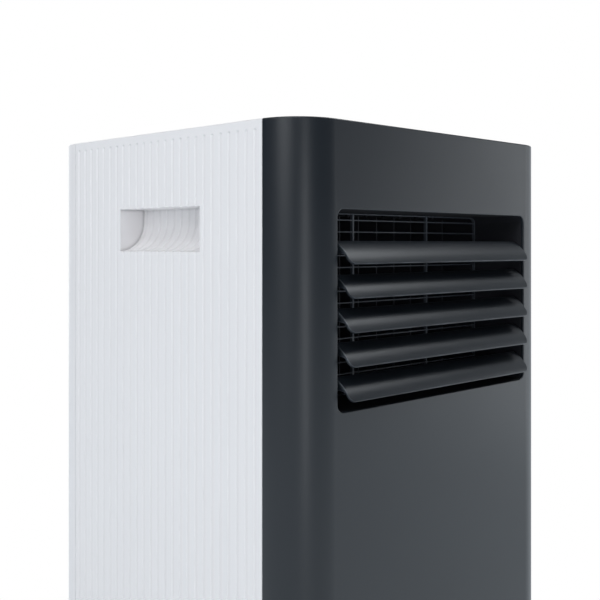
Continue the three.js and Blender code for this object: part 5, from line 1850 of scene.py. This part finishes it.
            # A black cross on each head is painted shade standing in for the cut recess.
            for half_x, half_z in ((1.9, 0.32), (0.32, 1.9)):
                arm = centred(x, z, half_x, half_z, 0.15, 2)
                recess_shade.plate(Plane.XZ, arm, low, high, (0.02, 0.05), steps=1)
        screws.piece("back_cover_screws", CASING_BODY, STEEL)
        recess_shade.piece("back_cover_screw_recess_shade", CASING_BODY, BLACK)


# ---- Base ----------------------------------------------------------------------------------


@dataclass
class Base:
    """The base pan and the four swivel casters."""

    inset: float = 5.5
    floor: float = 46.0
    top: float = 62.0
    wall: float = 2.5
    caster_x: float = 127.5
    caster_y: float = 123.0
    trail: float = 12.0
    wheel: float = 17.0
    wheel_half: float = 6.2
    wheel_rim: float = 1.6
    tyre: float = 4.5
    cheek: float = 2.5
    stem_hole: float = 4.9
    rib_depth: float = 5.0
    drain: Point = (-60.0, 55.0)

    def places(self) -> list[tuple[str, float, float]]:
        """Name and swivel axis of each caster.

        Returns:
            The casters, front row first.
        """
        rows = ((-self.caster_y, "front"), (self.caster_y, "back"))
        columns = ((-self.caster_x, "left"), (self.caster_x, "right"))
        return [(f"{row}_{column}", x, y) for y, row in rows for x, column in columns]

    def build(self) -> None:
        """Makes the pan and the casters."""
        self.build_pan()
        for label, x, y in self.places():
            self.build_fork(label, x, y)
            self.build_wheel(label, x, y)

    def build_pan(self) -> None:
        """Makes the pan, ribbed underneath, with its stem bosses and the drain spout."""
        pan, floor = Shape(), self.floor
        holes = [circle(x, y, self.stem_hole, 16) for _, x, y in self.places()]
        rim, inside = CASING.outline(self.inset), CASING.outline(self.inset + self.wall)
        pan.plate(Plane.XY, rim, floor, floor + self.wall, (0.8, 0.01), holes)
        pan.plate(Plane.XY, rim, floor + self.wall - 0.1, self.top, (0.01, 0.4), [inside])
        for (_, x, y), hole in zip(self.places(), holes):
            pan.plate(Plane.XY, circle(x, y, 8, 24), floor + 1, floor + self.wall + 4, (0.2, 0.4), [hole])
        levels = (floor - self.rib_depth, floor + 0.2)
        for step in range(-2, 3):
            x, y = 34 * step, 50 * step
            pan.block((x - 1, x + 1), (-140, 140), levels, 0.5)
            pan.block((-84, 84), (y - 1, y + 1), levels, 0.5)
        spout, bore = circle(*self.drain, 8.5, 24), circle(*self.drain, 5.4, 24)
        pan.plate(Plane.XZ, spout, 159.5, 169.9, (0.3, 0.4), [bore])
        pan.piece("base_pan_moulding", CASING_BODY, BLACK, ["base_pan"])

    def build_fork(self, label: str, x: float, y: float) -> None:
        """Makes one swivelling fork: a disc, its stem, two cheeks and the axle.

        Args:
            label: Name of the caster.
            x: Swivel axis across.
            y: Swivel axis along.
        """
        fork, body = Shape(), f"caster_fork_{label}"
        top = self.floor - 1
        fork.plate(Plane.XY, circle(x, y, 14, 40), top - 3.5, top, (0.9, 0.4), steps=3)
        fork.rod(Plane.XY, (x, y), 4.5, top - 1, self.floor + 9.9, 0.6)
        fork.rod(Plane.XY, (x, y), 6.0, self.floor + 6.9, self.floor + 8.9, 0.4)
        reach = self.wheel_half + 1
        axle = (y + self.trail, self.wheel)
        outline = polygon([(y - 9, top - 2), *arc(axle, 5, 198, 378, 12), (y + 12, top - 2)])
        for side in SIDES:
            inner, outer = side * reach, side * (reach + self.cheek)
            fork.plate(Plane.YZ, outline, x + inner, x + outer, (0.3, 0.7))
            fork.rod(Plane.YZ, axle, 3.2, x + outer - side * 0.4, x + outer + side * 0.6, 0.3)
        fork.rod(Plane.YZ, axle, 2.0, x - reach - 0.5, x + reach + 0.5)
        fork.piece(body + "_moulding", body, GREY, [body])

    def build_wheel(self, label: str, x: float, y: float) -> None:
        """Makes one wheel: a rubber tyre on a dished hub.

        Args:
            label: Name of the caster.
            x: Swivel axis across.
            y: Swivel axis along.
        """
        axle, half, body = (y + self.trail, self.wheel), self.wheel_half, f"caster_wheel_{label}"
        seat = self.wheel - self.tyre
        crown = [(height, inward) for inward, height in head_rim(self.wheel_rim, self.wheel)]
        tyre = [(seat, 0.6), (seat + 0.5, 0.0), *crown]
        hub = [
            (2.4, 0.2), (4.6, 0.2), (5.2, 0.8), (5.6, 2.2), (10.4, 2.4), (11.2, 0.9),
            (seat - 0.7, 0.5), (seat + 0.02, 0.9),
        ]
        parts = ((tyre, "_tyre", RUBBER, [body]), (hub, "_hub", GREY, []))
        for side, ending, finish, nodes in parts:
            profile = [(r, x - half + d) for r, d in side]
            profile += [(r, x + half - d) for r, d in reversed(side)]
            ring = Shape().turned(Plane.YZ, profile, axle, 56, hollow=True)
            ring.piece(body + ending, body, finish, nodes)


@dataclass
class InnerWorks:
    """The machinery inside the casing, carried over from the CAD with its own finishes."""

    def finishes(self) -> dict[str, Finish]:
        """Finish of each carried-over node.

        Returns:
            The finishes by node name.
        """
        return {
            "evaporator_blower_housing": FOAM,
            "evaporator_fan": BLACK,
            "evaporator_fan_motor": STEEL,
            "evaporator_coil": FINS,
            "exhaust_blower_housing": FOAM,
            "exhaust_fan": BLACK,
            "exhaust_fan_motor": STEEL,
            "condenser_coil": FINS,
            "compressor": ENAMEL,
            "suction_pipe": COPPER,
            "mid_deck": STEEL,
            "control_box": STEEL,
        }

    def build(self) -> None:
        """Dresses each node."""
        for name, finish in self.finishes().items():
            dress_node(name, finish)


# ---- Studio --------------------------------------------------------------------------------


LAMP_COLOUR = (0.93, 0.965, 1.0)
FLOOR_COLOUR = (0.86, 0.86, 0.86, 1.0)
WHITE_LIGHT = (1.0, 1.0, 1.0, 1.0)
MIDDLE = (0, 0, 0.4)


@dataclass(frozen=True)
class Softbox:
    """A soft rectangular lamp, placed and aimed in metres."""

    name: str
    place: Place
    size: Point
    power: float
    aim: Place = MIDDLE

    def build(self) -> None:
        """Makes the lamp."""
        lamp = bpy.data.lights.new(self.name, "AREA")
        lamp.shape = "RECTANGLE"
        lamp.size, lamp.size_y = self.size
        lamp.energy = self.power
        lamp.color = LAMP_COLOUR
        thing = bpy.data.objects.new(self.name, lamp)
        thing.location = self.place
        way = Vector(self.aim) - Vector(self.place)
        thing.rotation_euler = way.to_track_quat("-Z", "Y").to_euler()
        thing.visible_camera = False
        bpy.context.scene.collection.objects.link(thing)


@dataclass
class Studio:
    """A plain pale floor, soft lamps, and the camera."""

    lens: float = 57.03
    shift: float = -0.0927
    sensor: float = 36.0
    eye: Place = (-0.6798, -0.6715, 0.6051)
    forward: Place = (0.7107, 0.7035, 0.0)
    shade: float = 0.04
    glow: float = 1.15
    glow_way: float = 25.0
    tint: tuple[float, float, float, float] = (0.90, 0.96, 1.02, 1.0)
    bounce: tuple[float, float, float, float] = (0.90, 0.985, 1.06, 1.0)
    floor_radius: float = 6.0
    floor_fade: Point = (0.26, 0.7)
    lamps: tuple[Softbox, ...] = (
        Softbox("high_left", (-2.6, 0.5, 2.9), (2.2, 2.2), 28.0, (0, 0, 0.35)),
        Softbox("left_key", (-2.8, -0.7, 1.6), (1.4, 1.4), 20.5),
        Softbox("front_left", (-1.4, -1.2, 2.8), (1.2, 1.2), 22.0),
        Softbox("overhead", (0.5, -1.0, 3.0), (1.0, 1.0), 11.0),
        Softbox("high_right", (1.6, -0.98, 2.65), (0.8, 0.8), 17.0, (0, 0, 0.5)),
        Softbox("left_strip", (-1.3, -2.15, 0.25), (0.3, 1.5), 8.0),
        Softbox("right_strip", (2.4, -1.4, 0.5), (0.6, 1.8), 9.5),
        Softbox("back_fill", (0.6, 2.6, 1.2), (2.0, 2.0), 18.0),
    )

    def build(self) -> None:
        """Sets up the whole studio."""
        self.build_floor()
        self.build_surround()
        for lamp in self.lamps:
            lamp.build()
        self.build_camera()
        bpy.context.scene.view_settings.view_transform = "Standard"
        LOG.info("studio: %d lamps", len(self.lamps))

    def build_floor(self) -> None:
        """Makes the floor, which turns to plain white away from the object."""
        mesh = bpy.data.meshes.new("floor")
        points = [(x, y, 0.0) for x, y in arc((0, 0), self.floor_radius, 0, 360, 96)[:-1]]
        mesh.from_pydata(points, [], [list(range(len(points)))])
        floor = bpy.data.objects.new("floor", mesh)
        bpy.context.scene.collection.objects.link(floor)
        material = bpy.data.materials.new("floor_paper")
        material.use_nodes = True
        material.node_tree.nodes.clear()
        tree = Tree(material.node_tree)
        reach = tree.add("VectorMath", {0: tree.spot()}, operation="LENGTH").outputs["Value"]
        away = tree.ease(reach, *self.floor_fade)
        paper = tree.add("BsdfDiffuse", {"Color": FLOOR_COLOUR}).outputs[0]
        seen = tree.add("LightPath").outputs["Is Camera Ray"]
        glow = tree.blend(seen, self.bounce, WHITE_LIGHT)
        light = tree.add("Emission", {"Color": glow, "Strength": 1.0}).outputs[0]
        mixed = tree.add("MixShader", {0: away, 1: paper, 2: light}).outputs[0]
        below = tree.add("NewGeometry").outputs["Backfacing"]
        clear = tree.add("BsdfTransparent").outputs[0]
        sided = tree.add("MixShader", {0: below, 1: mixed, 2: clear}).outputs[0]
        tree.add("OutputMaterial", {"Surface": sided})
        mesh.materials.append(material)

    def build_surround(self) -> None:
        """Makes the surroundings: plain white to look at, softer as a light."""
        world = bpy.data.worlds.new("surround")
        world.use_nodes = True
        world.node_tree.nodes.clear()
        tree = Tree(world.node_tree)
        way = math.radians(self.glow_way)
        toward = tree.add("TexCoord").outputs["Generated"]
        bright = (math.cos(way), math.sin(way), 0.0)
        facing = tree.add("VectorMath", {0: toward, 1: bright}, operation="DOT_PRODUCT").outputs["Value"]
        across = tree.ease(facing, 0.5, 1.0)
        height = tree.math("ABSOLUTE", tree.add("SeparateXYZ", {0: toward}).outputs["Z"])
        swept = tree.times(tree.times(across, tree.ease(height, 0.6, 0.2)), self.glow)
        soft = tree.math("ADD", swept, self.shade)
        seen = tree.add("LightPath").outputs["Is Camera Ray"]
        strength = tree.add("Mix", {0: seen, 2: soft, 3: 1.0}, data_type="FLOAT")
        colour = tree.blend(seen, self.tint, WHITE_LIGHT)
        light = tree.add("Background", {"Color": colour, "Strength": strength.outputs[0]})
        tree.add("OutputWorld", {"Surface": light.outputs[0]})
        bpy.context.scene.world = world

    def build_camera(self) -> None:
        """Makes the camera and gives it to the scene."""
        camera = bpy.data.cameras.new("camera")
        camera.lens = self.lens
        camera.sensor_width = self.sensor
        camera.shift_y = self.shift
        camera.clip_start = 0.01
        thing = bpy.data.objects.new("camera", camera)
        thing.location = self.eye
        thing.rotation_euler = Vector(self.forward).to_track_quat("-Z", "Y").to_euler()
        bpy.context.scene.collection.objects.link(thing)
        bpy.context.scene.camera = thing


def main() -> None:
    """Builds the whole object and the studio round it."""
    logging.basicConfig(level=logging.INFO, format="%(name)s: %(message)s")
    outlet = Outlet()
    back = Back()
    controls = Controls()
    Enclosure(outlet.throat(0), back.openings(), controls.outline).build()
    controls.build()
    outlet.build()
    Louvres().build()
    back.build()
    Base().build()
    InnerWorks().build()
    Studio().build()


if __name__ == "__main__":
    main()
